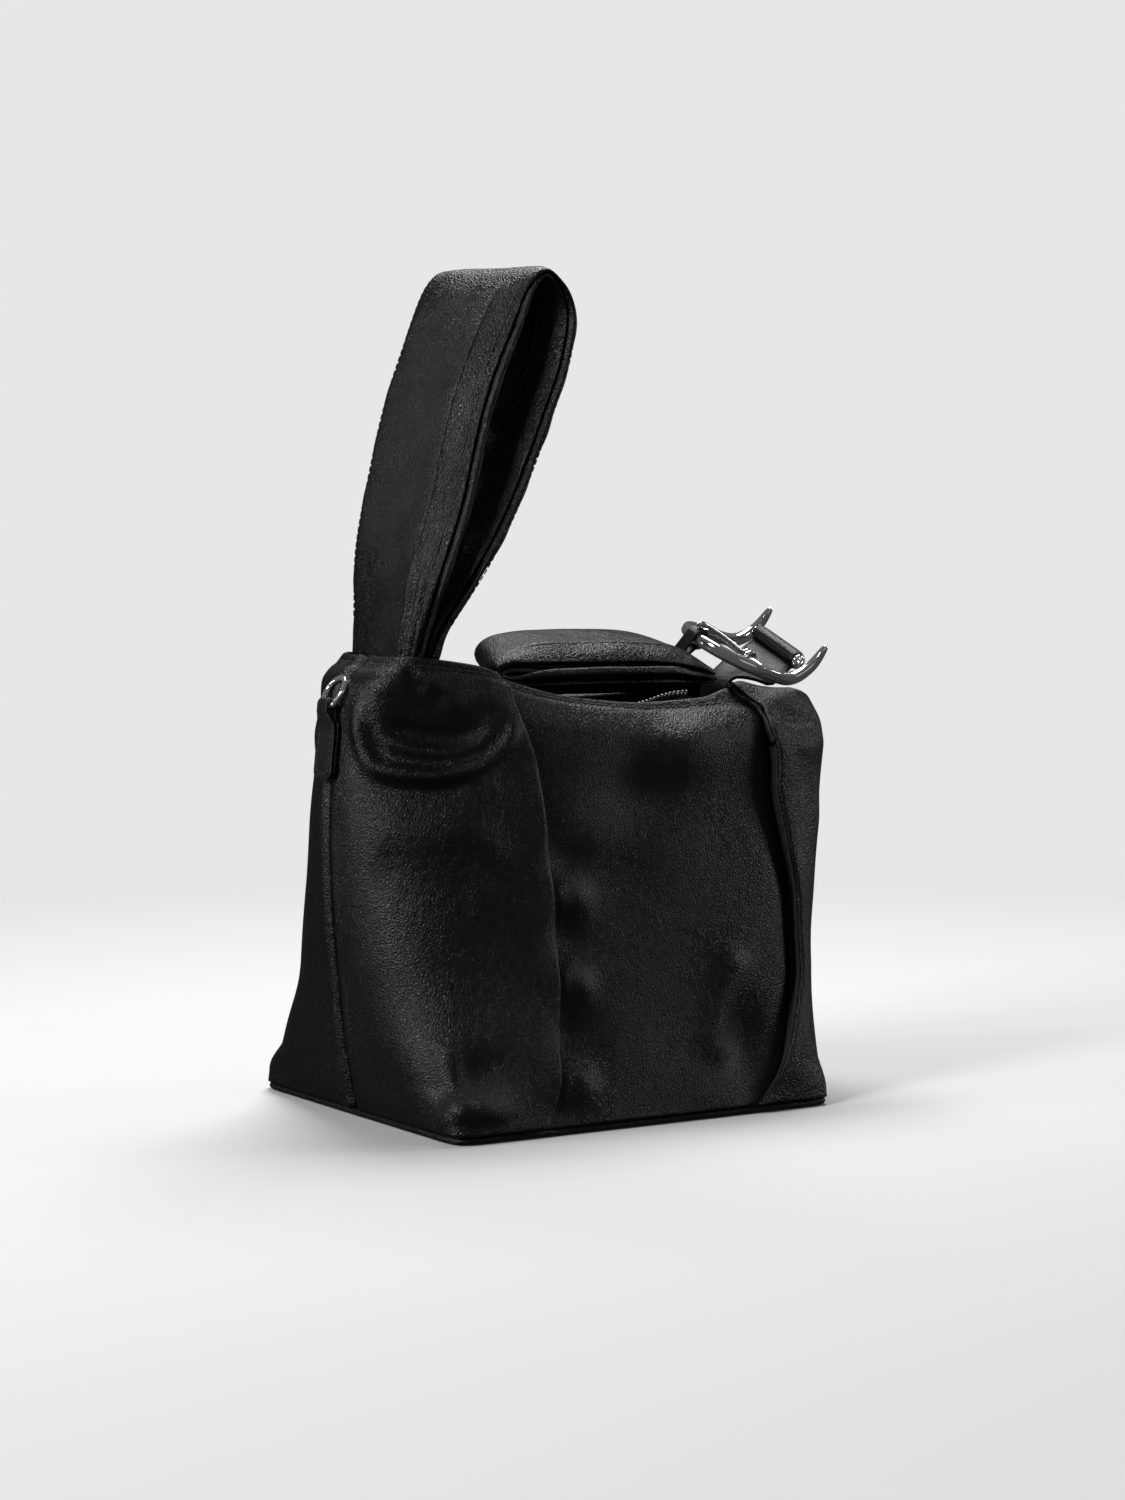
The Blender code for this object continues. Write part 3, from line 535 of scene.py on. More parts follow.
# The pouch that sags under the tall handle, held by two folds one inside the other
POUCH_OUTER = ((0.052, 0.93), (0.058, 0.88), (0.068, 0.81), (0.090, 0.765), (0.140, 0.750), (0.195, 0.755),
               (0.250, 0.790), (0.285, 0.850), (0.300, 0.930))
POUCH_INNER = ((0.085, 0.90), (0.092, 0.855), (0.110, 0.822), (0.140, 0.808), (0.182, 0.803), (0.220, 0.815),
               (0.255, 0.850), (0.275, 0.910))
FRONT_RIDGES = (
    (POUCH_OUTER, 0.0034, 0.0038, 0.16),
    (raised(POUCH_OUTER[2:7], -0.034), -0.0014, 0.0038, 0.30),
    (halfway(POUCH_OUTER[1:8], POUCH_INNER[:7]), -0.0006, 0.0028),
    (POUCH_INNER, 0.0018, 0.0032, 0.25),
    (raised(POUCH_INNER[1:7], 0.030), -0.0022, 0.0046, 0.25),
    (((0.128, 0.995), (0.140, 0.955), (0.165, 0.93)), -0.0018, 0.0034, 0.35),
    (((0.150, 0.99), (0.168, 0.955), (0.200, 0.945)), 0.0010, 0.0036, 0.35),
    # Slack below the pouch
    (((0.08, 0.66), (0.15, 0.62), (0.23, 0.63), (0.31, 0.56)), 0.0018, 0.009),
    (((0.09, 0.56), (0.17, 0.52), (0.26, 0.50)), -0.0014, 0.010),
    # Middle of the front
    (((0.66, 0.40), (0.64, 0.30), (0.615, 0.20), (0.60, 0.09)), 0.0026, 0.008),
    # Shoulder and drapes at the buckle's end
    (((0.765, 0.96), (0.79, 0.935), (0.82, 0.918), (0.85, 0.912), (0.875, 0.915)), -0.0030, 0.0044, 0.35),
    (((0.76, 0.88), (0.80, 0.862), (0.84, 0.856), (0.875, 0.862)), 0.0018, 0.0064, 0.35),
    (((0.93, 0.80), (0.90, 0.62), (0.91, 0.42), (0.94, 0.26)), -0.0016, 0.009),
    (((0.86, 0.74), (0.845, 0.50), (0.86, 0.25)), 0.0014, 0.009),
    # Pinched corner over the base
    (((0.236, 0.02), (0.225, 0.10), (0.21, 0.20)), 0.0024, 0.005),
)
FRONT_BLOBS = (
    # In and under the pouch
    (0.180, 0.90, -0.0022, 0.026, 0.011),
    (0.205, 0.915, 0.0020, 0.0080, 0.0060, 30),
    (0.245, 0.70, 0.0024, 0.018, 0.014),
    # Puckers beside the left pleat, and the hollows between them
    (0.396, 0.51, 0.0040, 0.0085, 0.009, -20),
    (0.396, 0.315, 0.0038, 0.0085, 0.008, -20),
    (0.396, 0.09, 0.0036, 0.0085, 0.009, -20),
    (0.388, 0.42, -0.0024, 0.011, 0.009, 15),
    (0.388, 0.205, -0.0024, 0.011, 0.009, 15),
    (0.388, 0.60, -0.0024, 0.011, 0.009, 15),
    # Middle of the front
    (0.592, 0.88, 0.0042, 0.019, 0.014, 35),
    (0.50, 0.78, -0.0026, 0.022, 0.018),
    (0.56, 0.45, 0.0014, 0.035, 0.045),
    (0.655, 0.17, -0.0046, 0.011, 0.016, -25),
    # Shoulder at the buckle's end
    (0.875, 0.975, 0.0034, 0.022, 0.008),
    # Pinched corner over the base
    (0.262, 0.055, 0.0034, 0.013, 0.007),
    (0.255, 0.130, -0.0034, 0.014, 0.009, 20),
    (0.200, 0.060, -0.0014, 0.010, 0.009),
)
BACK_RIDGES = (
    (((0.062, 0.91), (0.07, 0.84), (0.10, 0.79), (0.16, 0.775), (0.22, 0.80), (0.27, 0.86), (0.29, 0.92)),
     0.0030, 0.0058),
    (((0.77, 0.95), (0.81, 0.925), (0.85, 0.915), (0.875, 0.918)), -0.0024, 0.0050, 0.35),
    (((0.92, 0.78), (0.90, 0.55), (0.93, 0.30)), -0.0018, 0.009),
    (((0.236, 0.02), (0.225, 0.10), (0.21, 0.20)), 0.0012, 0.006),
)
BACK_BLOBS = (
    (0.170, 0.87, -0.0046, 0.028, 0.012),
    (0.392, 0.55, 0.0022, 0.0085, 0.010, -15),
    (0.392, 0.36, 0.0018, 0.0085, 0.010, -15),
    (0.392, 0.12, 0.0020, 0.0085, 0.010, -15),
    (0.55, 0.84, 0.0024, 0.022, 0.016, -20),
    (0.52, 0.50, -0.0012, 0.030, 0.030),
    (0.66, 0.22, -0.0028, 0.012, 0.016, -20),
)
RELIEFS = {"front": (0.0005, FRONT_RIDGES, FRONT_BLOBS), "back": (0.0006, BACK_RIDGES, BACK_BLOBS)}


def relief_over(points, side):
    """How far each point of a panel stands off the plain surface."""
    swell, ridges, blobs = RELIEFS[side]
    relief = Relief(points)
    undulate(relief, swell)
    for ridge in ridges:
        relief.ridge(*ridge)
    for blob in blobs:
        relief.blob(*blob)
    return relief.amount


RIGHT_PLEAT_LIFT = 0.0008
PANEL_HEIGHT = 0.18
STITCH_GROOVE = 0.00055


def seam_dip(share, lengths):
    """The panel's edge turns in at the end seams."""
    from_left = share * lengths
    from_right = (1 - share) * lengths
    near = np.minimum(from_left, from_right)
    return -0.0018 * np.exp(-(near / 0.0022) ** 2) + 0.0004 * np.exp(-((near - 0.005) / 0.003) ** 2)


def pleat_form(height):
    """Radius of a pleat's folded edge and how far its flap stands up, by height."""
    body = ease(height / 0.10) * ease((1 - height) / 0.14)
    return 0.0005 + 0.0010 * body, 0.0008 + 0.0020 * body


def eased_steps(count, drift):
    """Steps from 0 to 1 that crowd a little towards the middle, or towards the ends if drift is negative."""
    steps = np.linspace(0.0, 1.0, count)
    return steps + drift * np.sin(2 * math.pi * steps) / (2 * math.pi)


def panel_row(height, length):
    """One row of (share, height, normal offset): left flap, fold, sunk middle, fold, right flap."""
    edge_left = float(smooth([(h, s) for s, h in LEFT_PLEAT], height)) * length
    edge_right = float(smooth([(h, s) for s, h in RIGHT_PLEAT], height)) * length
    radius, lift = pleat_form(height)
    right_top = lift + RIGHT_PLEAT_LIFT
    turn = np.linspace(0.0, math.radians(190), 9)[1:]
    steps = eased_steps(FLAP_COLUMNS, 0.12)
    left = (edge_left - radius) * steps
    left_lift = lift * np.exp(-((edge_left - radius - left) / 0.016) ** 2)
    left_roll = edge_left - radius + radius * np.sin(turn)
    left_roll_lift = lift - radius + radius * np.cos(turn)
    start = edge_left - radius * 1.2
    stop = edge_right + radius * 1.2
    centre = start + (stop - start) * eased_steps(CENTRE_COLUMNS, -0.10)
    sunk = lift - 2 * radius - 0.0010
    left_sink = sunk * np.exp(-(np.maximum(centre - start, 0.0) / 0.010) ** 1.5)
    deep = sunk - 0.0034 * ease(height / 0.25) * ease((1 - height) / 0.12)
    right_sink = deep * np.exp(-(np.maximum(stop - centre, 0.0) / 0.0085) ** 1.6)
    right_roll = edge_right + radius - radius * np.sin(turn[::-1])
    right_roll_lift = right_top - radius + radius * np.cos(turn[::-1])
    right = edge_right + radius + (length - edge_right - radius) * (1 - steps[::-1])
    right_lift = right_top * np.exp(-((right - edge_right - radius) / 0.014) ** 2)
    along = np.concatenate([left, left_roll, centre, right_roll, right]) / length
    offset = np.concatenate([left_lift, left_roll_lift, left_sink + right_sink, right_roll_lift, right_lift])
    return np.column_stack([along, np.full(len(along), height), offset])


def panel_sheet(side):
    """Rows of (share, height, normal offset) for one side of the body, with both pleats folded in."""
    sheet = np.array([panel_row(height, length) for height, length in zip(HEIGHTS, ROW_LENGTH)])
    share, height = sheet[..., 0], sheet[..., 1]
    relief = relief_over(on_surface(SURFACE, share, height), side)
    calm = ease(height / 0.04) * (0.35 + 0.65 * ease((1 - height) / 0.05))
    calm = calm * ease(share / 0.03) * ease((1 - share) / 0.03)
    sheet[..., 2] += relief * calm + seam_dip(share, ROW_LENGTH[:, None])
    below_rim = (1 - height) * PANEL_HEIGHT
    sheet[..., 2] -= STITCH_GROOVE * np.exp(-((below_rim - 0.0030) / 0.0013) ** 2)
    return sheet


def raise_sheet(share, height, offset):
    return on_surface(SURFACE, share, height) + on_surface(NORMALS, share, height) * offset[..., None]


def turned_edge(sheet):
    """Rows that carry the panel over its rim and down inside as a facing."""
    last = sheet[-1]
    outer = raise_sheet(last[:, 0], last[:, 1], last[:, 2])
    outward = on_surface(NORMALS, last[:, 0], last[:, 1])
    rim = on_surface(SURFACE, last[:, 0], last[:, 1])
    up = unit(rim - on_surface(SURFACE, last[:, 0], last[:, 1] - 0.02))
    rows = []
    for angle in np.radians(np.linspace(30, 180, 6)):
        rows.append(outer + up * RIM_ROLL * math.sin(angle) - outward * RIM_ROLL * (1 - math.cos(angle)))
    for height in np.linspace(1.0, 1.0 - FACING_DEPTH, 12)[1:]:
        i = int(round(height * (BODY_ROWS - 1)))
        row = sheet[i]
        rows.append(raise_sheet(row[:, 0], np.full(len(row), height), row[:, 2] - 2 * RIM_ROLL))
    return np.array(rows)


def other_side(points):
    return points * np.array([1.0, -1.0, 1.0])


def build_panels():
    for side in ("front", "back"):
        sheet = panel_sheet(side)
        grid = raise_sheet(sheet[..., 0], sheet[..., 1], sheet[..., 2])
        grid = np.concatenate([grid, turned_edge(sheet)])
        grid[..., 1] -= PANEL_GAP
        if side == "back":
            grid = other_side(grid)[:, ::-1]
        mesh = grid_mesh(side + "_leather", grid)
        panel = new_object(side + "_leather", mesh, BODY_LEATHER, "bag", side + "_panel", side + "_facing",
                           slot="black_leather")
        thicken(panel, LEATHER * 0.8)
        build_lining(side, sheet)
        rim_stitches(side, sheet)


def build_lining(side, sheet):
    rows = sheet[2:int(0.90 * BODY_ROWS):2, ::2]
    grid = raise_sheet(rows[..., 0], rows[..., 1], rows[..., 2] - LEATHER - 0.0006)
    if side == "back":
        grid = other_side(grid)[:, ::-1]
    mesh = grid_mesh(side + "_lining_cloth", grid)
    item = new_object(side + "_lining_cloth", mesh, LINING_CLOTH, "bag", side + "_lining", slot="lining")
    thicken(item, CLOTH)


# Threads and other small repeats

BAR_SIDES = 8
THREAD_SINK = 0.00005
RIM_STITCH_ROW = BODY_ROWS - 3


def bar_form(form, start, end, half_width, half_height, up):
    """A rounded bar between two points: an eight-sided prism with tapered ends."""
    start, end = np.asarray(start, float), np.asarray(end, float)
    along = end - start
    way = along / np.linalg.norm(along)
    side = np.cross(way, up)
    side /= np.linalg.norm(side)
    lift = np.cross(side, way)
    loops = []
    for share, scale in ((0.0, 0.35), (0.12, 0.9), (0.5, 1.0), (0.88, 0.9), (1.0, 0.35)):
        centre = start + along * share
        loop = []
        for angle in full_turn(BAR_SIDES):
            offset = side * half_width * math.cos(angle) + lift * half_height * math.sin(angle)
            loop.append(form.verts.new(centre + offset * scale))
        loops.append(loop)
    for a, b in zip(loops, loops[1:]):
        for k in range(BAR_SIDES):
            after = (k + 1) % BAR_SIDES
            form.faces.new((a[k], a[after], b[after], b[k]))
    form.faces.new(loops[0][::-1])
    form.faces.new(loops[-1])


def reach_along(route):
    """The way from a route's start to each of its points."""
    steps = np.linalg.norm(np.diff(route, axis=0), axis=1)
    return np.concatenate([[0.0], np.cumsum(steps)])


def point_at(place, reach, route):
    return np.array([np.interp(place, reach, axis) for axis in route.T])


def stitch_row(name, route, normals, body, pitch=0.0036, length=0.0027, half_width=0.00044):
    """A line of separate stitches that lie on a surface along a route, sunk a little into it."""
    reach = reach_along(route)
    count = max(int(reach[-1] / pitch), 1)
    form = bmesh.new()
    for k in range(count):
        middle = (k + 0.5) * reach[-1] / count
        up = unit(point_at(middle, reach, normals))
        start = point_at(middle - length / 2, reach, route) - up * THREAD_SINK
        end = point_at(middle + length / 2, reach, route) - up * THREAD_SINK
        bar_form(form, start, end, half_width, half_width * 0.8, up)
    item = linked(name, mesh_of(name, form), THREAD)
    if body:
        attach(item, body)
    return item


def rim_stitches(side, sheet):
    """Stitches that hold the facing, in the groove just below the rim."""
    part = sheet[RIM_STITCH_ROW, 6:-6]
    route = raise_sheet(part[:, 0], part[:, 1], part[:, 2])
    route[:, 1] -= PANEL_GAP
    normals = on_surface(NORMALS, part[:, 0], part[:, 1])
    if side == "back":
        route, normals = other_side(route), other_side(normals)
    stitch_row(side + "_rim_thread", route, normals, "bag")


# Padded handles

BAND_POINTS = 5
SEAM_GROOVE = 5
FAR_GROOVE = 16
LONG_ROUTE = ((-0.0795, 0.2050), (-0.0768, 0.2240), (-0.0730, 0.2450), (-0.0657, 0.2740), (-0.0590, 0.3025),
              (-0.0523, 0.3235), (-0.0427, 0.3465), (-0.0350, 0.3640), (-0.0262, 0.3720), (-0.0180, 0.3660),
              (-0.0140, 0.3565), (-0.0140, 0.3470), (-0.0172, 0.3310), (-0.0255, 0.3100), (-0.0330, 0.2920),
              (-0.0470, 0.2610), (-0.0600, 0.2350), (-0.0692, 0.2170), (-0.0722, 0.2050))
LONG_ROOTS = ((-0.0796, 0.1960), (-0.0728, 0.1960))
LONG_TWIST = ((0.196, 0.0), (0.205, 0.0), (0.275, 13.0), (0.330, 15.0), (0.372, 22.0))
LONG_NEAR = ((0.196, 0.0215), (0.205, 0.0245), (0.222, 0.0270), (0.245, 0.0295), (0.275, 0.0308),
             (0.372, 0.0300))
LONG_FAR = ((0.196, 0.0290), (0.205, 0.0325), (0.245, 0.0325), (0.300, 0.0310), (0.372, 0.0300))
LONG_HALF = ((0.196, 0.0022), (0.205, 0.0027), (0.222, 0.0036), (0.250, 0.0048), (0.345, 0.0047),
             (0.364, 0.0031), (0.372, 0.0026))
SHORT_ROUTE = ((0.0860, 0.1905), (0.0720, 0.1915), (0.0400, 0.1925), (0.0050, 0.1926), (-0.0150, 0.1928),
               (-0.0225, 0.1934), (-0.0275, 0.1952), (-0.0294, 0.1982), (-0.0275, 0.2012), (-0.0225, 0.2030),
               (-0.0150, 0.2034), (0.0050, 0.2034), (0.0400, 0.2030), (0.0600, 0.2014), (0.0740, 0.1982),
               (0.0860, 0.1942))
SHORT_WIDTH = ((-0.028, 0.036), (0.0, 0.043), (0.05, 0.044), (0.070, 0.038), (0.088, 0.024))
SHORT_HALF = ((-0.030, 0.0025), (-0.020, 0.0034), (0.0, 0.0047), (0.055, 0.0045), (0.072, 0.0030),
              (0.088, 0.0014))
SHORT_ROLL = ((-0.028, 14.0), (0.0, 11.0), (0.05, 11.0), (0.088, 15.0))
SHORT_YAW = ((-0.028, -17.0), (0.02, -3.0), (0.088, 4.0))


def ring_through(points, fine=BAND_POINTS):
    """A smooth closed ring through points, with the same number of steps from each to the next."""
    points = np.asarray(points, float)
    before, after = np.roll(points, 1, axis=0), np.roll(points, -1, axis=0)
    beyond = np.roll(points, -2, axis=0)
    ring = []
    for u in np.linspace(0.0, 1.0, fine, endpoint=False):
        ring.append(spline(before, points, after, beyond, u))
    return np.stack(ring, axis=1).reshape(-1, points.shape[1])


def band_section(near, far, half, ridge, groove):
    """Section of a folded band as (towards the near edge, outward). The crowned outer face breaks over a
    ridge to a slanted facet, which ends in a rolled seam over a second layer. The inner face is flatter."""
    slant = 1 - ridge
    facet = ((0.44, 1.06 + 0.20 * ridge), (0.53, 1.00 + 0.02 * ridge), (0.72, 0.42 + 0.40 * slant),
             (0.85, -0.06 + 0.56 * slant), (0.905, -0.30 + 0.40 * slant), (0.90, -0.50))
    seam = ((0.955, -0.62), (1.0, -0.90), (0.975, -1.20), (0.90, -1.32), (0.62, -1.12), (0.10, -0.96))
    far_side = ((-0.55, -0.94), (-0.88, -0.98), (-0.985, -0.66), (-0.995, -0.22), (-0.985, 0.0),
                (-0.995, 0.22), (-0.985, 0.66), (-0.88, 0.98), (-0.45, 1.10))
    section = np.array([*facet, *seam, *far_side, (0.05, 1.10 + 0.06 * ridge)])
    section[:, 0] *= np.where(section[:, 0] > 0, near, far)
    section[:, 1] *= half
    section[SEAM_GROOVE, 0] -= groove
    section[FAR_GROOVE, 0] += groove * 0.5
    return section


def flipped_section(section):
    """The same section with its inner and outer faces changed over, point for point."""
    turned = (section * np.array([1.0, -1.0]))[::-1]
    return np.roll(turned, -10, axis=0)


def band_grid(centres, acrosses, sections):
    tangents = np.gradient(centres, axis=0)
    outward = unit(np.cross(acrosses, tangents))
    rings = []
    for centre, across, normal, section in zip(centres, acrosses, outward, sections):
        ring = ring_through(section)
        rings.append(centre + ring[:, :1] * across + ring[:, 1:] * normal)
    return np.array(rings), outward


def puff(item, amount):
    """Small uneven swells along a mesh's normals, as stuffing gives."""
    mesh = item.data
    count = len(mesh.vertices)
    places, normals = np.empty(count * 3), np.empty(count * 3)
    mesh.vertices.foreach_get("co", places)
    mesh.vertices.foreach_get("normal", normals)
    places, normals = places.reshape(-1, 3), normals.reshape(-1, 3)
    x, y, z = places.T
    wave = np.sin(190 * z + 60 * y + 2.0) * np.sin(120 * x + 90 * y) + 0.6 * np.sin(330 * z - 140 * x + 0.7)
    wave += 0.5 * np.sin(260 * y + 170 * x) * np.sin(210 * z + 1.0)
    mesh.vertices.foreach_set("co", (places + normals * (wave * amount)[:, None]).ravel())
    mesh.update()


LONG_STATIONS = 230


def build_long_handle():
    route = np.vstack([LONG_ROOTS[0], LONG_ROUTE, LONG_ROOTS[1]])
    route = through(route, LONG_STATIONS)
    centres = np.column_stack([route[:, 0], np.zeros(len(route)), route[:, 1]])
    z = route[:, 1]
    turn = np.radians(smooth(LONG_TWIST, z))
    acrosses = np.column_stack([np.sin(turn), -np.cos(turn), np.zeros(len(turn))])
    peak = int(np.argmax(z))
    sections = []
    for k, height in enumerate(z):
        near, far = float(smooth(LONG_NEAR, height)), float(smooth(LONG_FAR, height))
        half = float(smooth(LONG_HALF, height))
        rise = float(ease((height - 0.205) / 0.05))
        over = float(ease((0.372 - height) / 0.016))
        ridge = (0.35 + 0.65 * rise) * (0.3 + 0.7 * over)
        groove = 0.0006 + 0.0024 * rise * over
        section = band_section(near, far, half, ridge, groove)
        second = float(ease((k - peak + 14) / 28))
        sections.append((1 - second) * section + second * flipped_section(section))
    grid, outward = band_grid(centres, acrosses, sections)
    grid = gather_roots(grid, centres, acrosses, outward, z)
    mesh = solid("long_handle_leather", grid)
    item = linked("long_handle_leather", mesh, STRAP_LEATHER)
    puff(item, 0.00028)
    keep_place(mesh)
    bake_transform(item)
    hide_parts("long_handle_sleeve", "long_handle_core")
    long_handle_stitches(grid)


def gather_roots(grid, centres, acrosses, outward, z):
    """Lengthwise folds that run together where each leg narrows into the mouth."""
    offset = grid - centres[:, None]
    wide = np.einsum("rki,ri->rk", offset, acrosses)
    deep = np.einsum("rki,ri->rk", offset, outward)
    near = smooth(LONG_NEAR, z)[:, None]
    share = np.clip(wide / near, -2.0, 1.0)
    fade = (1 - ease((z - 0.200) / 0.062))[:, None]
    folds = (np.abs(np.sin((1 - share) * 16.0)) - 0.6) * ease((share - 0.38) / 0.15)
    grid = grid + outward[:, None] * (np.sign(deep) * folds * fade * 0.0030)[..., None]
    # Slack across the inner face, half way up the second leg
    second = np.arange(len(z)) > np.argmax(z)
    lump = np.exp(-((z - 0.298) / 0.012) ** 2) * second
    crumple = np.exp(-((share + 0.15) / 0.35) ** 2) * np.where(deep < 0, 1.0, 0.0)
    crumple = crumple * lump[:, None] * (1 + 0.6 * np.sin(share * 9 + z[:, None] * 300))
    return grid - outward[:, None] * (crumple * 0.0036)[..., None]


def long_handle_stitches(grid):
    """Two rows beside the near seam, from root to root."""
    middle = np.mean(grid, axis=1, keepdims=True)
    columns = {"near": 2 * BAND_POINTS + 2, "far": 18 * BAND_POINTS + 2}
    for row, column in columns.items():
        line = grid[14:-14, column]
        ahead, behind = grid[14:-14, column + 1], grid[14:-14, column - 1]
        normals = unit(np.cross(np.gradient(line, axis=0), ahead - behind))
        outward = line - middle[14:-14, 0]
        normals *= np.sign(np.einsum("ij,ij->i", normals, outward))[:, None]
        item = stitch_row("long_handle_thread_" + row, line, normals, None, pitch=0.0034, length=0.0026,
                          half_width=0.00036)
        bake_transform(item)


SHORT_STATIONS = 170


def build_short_handle():
    route = through(SHORT_ROUTE, SHORT_STATIONS)
    centres = np.column_stack([route[:, 0], np.zeros(len(route)), route[:, 1]])
    x = route[:, 0]
    acrosses, sections = [], []
    low_end = int(np.argmin(x))
    for k, along in enumerate(x):
        turn = Euler((math.radians(float(smooth(SHORT_ROLL, along))), 0.0,
                      math.radians(float(smooth(SHORT_YAW, along)))))
        acrosses.append(np.array(turn.to_matrix() @ Vector((0.0, -1.0, 0.0))))
        width = float(smooth(SHORT_WIDTH, along)) / 2
        half = float(smooth(SHORT_HALF, along))
        full = float(ease((along + 0.029) / 0.02) * ease((0.094 - along) / 0.03))
        ridge = 0.5 * full
        crown = 1.0 + (0.20 if k > low_end else 0.28) * full
        sections.append(band_section(width, width, half * crown, ridge, 0.0004 + 0.0016 * full))
    mesh = solid("short_handle_leather", band_grid(centres, np.array(acrosses), sections)[0])
    item = new_object("short_handle_leather", mesh, STRAP_LEATHER, "short_handle", "short_handle_sleeve",
                      "short_handle_core", slot="strap_leather")
    puff(item, 0.00025)
    keep_place(mesh)


# Buckle

BUCKLE_PLACE = (0.1302, 0.0, 0.2020)
BUCKLE_TURN = (21.0, 18.0, 6.0)
HORSESHOE_RADIUS = 0.0240
HORSESHOE_MIDDLE = -0.0225
HORSESHOE_HEIGHT = -0.0098
HORN_ROUTE = ((-0.0225, -0.0098), (-0.0060, -0.0082), (0.0027, 0.0006), (0.0058, 0.0135))
FRAME_HALF_WIDTH = 0.0031
FRAME_HALF_HEIGHT = 0.0030
FRAME_POWER = 0.72
LOWER_BAR_X = -0.0135
WRAP_RADIUS = 0.0046
CHAPE_WIDTHS = ((0.096, 0.020), (0.113, 0.035))
CHAPE_ROLL = ((0.099, 0.0), (0.113, 1.0))
CHAPE_ROUTE = ((0.0925, 0.1780), (0.0945, 0.1852), (0.0985, 0.1892), (0.1080, 0.1912), (0.1165, 0.1918))
CHAPE_THICKNESS = 0.0026
COLLAR_PLACE = 0.0180


def buckle_matrix():
    turn = Euler([math.radians(angle) for angle in BUCKLE_TURN])
    return Matrix.Translation(BUCKLE_PLACE) @ turn.to_matrix().to_4x4()


def place_mesh(mesh, matrix):
    mesh.transform(matrix)
    mesh.update()


def sweep_ring(route, sideways, section, scales):
    """Sections carried along a route, each given as (sideways, up) offsets."""
    tangents = np.gradient(route, axis=0)
    ups = unit(np.cross(tangents, sideways))
    sides = unit(np.cross(ups, tangents))
    rings = []
    for point, side, up, scale in zip(route, sides, ups, scales):
        rings.append(point + scale * (section[:, :1] * side + section[:, 1:] * up))
    return np.array(rings)


def build_buckle_frame(matrix):
    horn = through([(x, 0.0, z) for x, z in HORN_ROUTE], 36)
    near = horn + np.array([0.0, -HORSESHOE_RADIUS, 0.0])
    far = horn + np.array([0.0, HORSESHOE_RADIUS, 0.0])
    angles = np.linspace(math.pi / 2, 3 * math.pi / 2, 72)[1:-1]
    arc = np.column_stack([HORSESHOE_MIDDLE + HORSESHOE_RADIUS * np.cos(angles),
                           HORSESHOE_RADIUS * np.sin(angles), np.full(len(angles), HORSESHOE_HEIGHT)])
    route = np.vstack([far[::-1], arc, near])
    sideways = np.vstack([np.tile((0.0, 1.0, 0.0), (len(horn), 1)),
                          unit(arc - np.array([HORSESHOE_MIDDLE, 0.0, HORSESHOE_HEIGHT])),
                          np.tile((0.0, -1.0, 0.0), (len(horn), 1))])
    turn = full_turn(28)
    section = np.column_stack([FRAME_HALF_WIDTH * squared(np.cos(turn), FRAME_POWER),
                               FRAME_HALF_HEIGHT * squared(np.sin(turn), FRAME_POWER)])
    from_tip = np.minimum(np.arange(len(route)), np.arange(len(route))[::-1])
    scales = smooth(((0, 0.10), (1, 0.36), (3, 0.55), (9, 0.76), (24, 1.0), (200, 1.0)), from_tip)
    mesh = solid("buckle_frame_chrome", sweep_ring(route, sideways, section, scales))
    place_mesh(mesh, matrix)
    new_object("buckle_frame_chrome", mesh, CHROME, "buckle", "buckle_frame", slot="chrome")


def build_bar(name, radius, half, matrix, replaced, rim=0.0003):
    """A round chrome rod along local Y with eased ends."""
    profile = ((radius - rim, -half), (radius, -half + rim), (radius, half - rim), (radius - rim, half))
    rings = []
    for reach, y in profile:
        rings.append([(reach * math.cos(a), y, reach * math.sin(a)) for a in full_turn(40)])
    mesh = solid(name, rings)
    mesh.set_sharp_from_angle(angle=SHARP_ANGLE)
    place_mesh(mesh, matrix)
    new_object(name, mesh, CHROME, "buckle", replaced, slot="chrome")


def build_tongue(matrix):
    """A twin-coiled ring round the lower bar, with a prong that rests on the closed end."""
    bar = Matrix.Translation((LOWER_BAR_X, 0.0, HORSESHOE_HEIGHT))
    meshes = []
    for y in (-0.0012, 0.0012):
        meshes.append(torus_mesh("coil", 0.0029, 0.0011, matrix @ bar @ Matrix.Translation((0.0, y, 0.0))))
    left = HORSESHOE_MIDDLE - HORSESHOE_RADIUS
    path = ((LOWER_BAR_X - 0.0024, 0.0, HORSESHOE_HEIGHT + 0.0008),
            (LOWER_BAR_X - 0.010, 0.0, HORSESHOE_HEIGHT + 0.0030),
            (left + 0.008, 0.0, HORSESHOE_HEIGHT + 0.0062), (left - 0.001, 0.0, HORSESHOE_HEIGHT + 0.0070),
            (left - 0.004, 0.0, HORSESHOE_HEIGHT + 0.0056))
    route = through(path, 40)
    turn = full_turn(16)
    section = np.column_stack([0.0015 * np.cos(turn), 0.0012 * np.sin(turn)])
    scales = smooth(((0, 1.0), (35, 1.0), (38, 0.8), (39, 0.45)), np.arange(40))
    prong = solid("prong", sweep_ring(route, np.tile((0.0, 1.0, 0.0), (40, 1)), section, scales))
    place_mesh(prong, matrix)
    meshes.append(prong)
    mesh = joined("buckle_tongue_chrome", meshes)
    new_object("buckle_tongue_chrome", mesh, CHROME, "tongue", "buckle_tongue", slot="chrome")


def torus_mesh(name, radius, wire, matrix):
    rings = []
    for a in full_turn(48):
        out = np.array([math.cos(a), 0.0, math.sin(a)])
        rings.append([out * (radius + wire * math.cos(b)) + np.array([0.0, wire * math.sin(b), 0.0])
                      for b in full_turn(18)])
    mesh = ring_solid(name, rings)
    place_mesh(mesh, matrix)
    return mesh


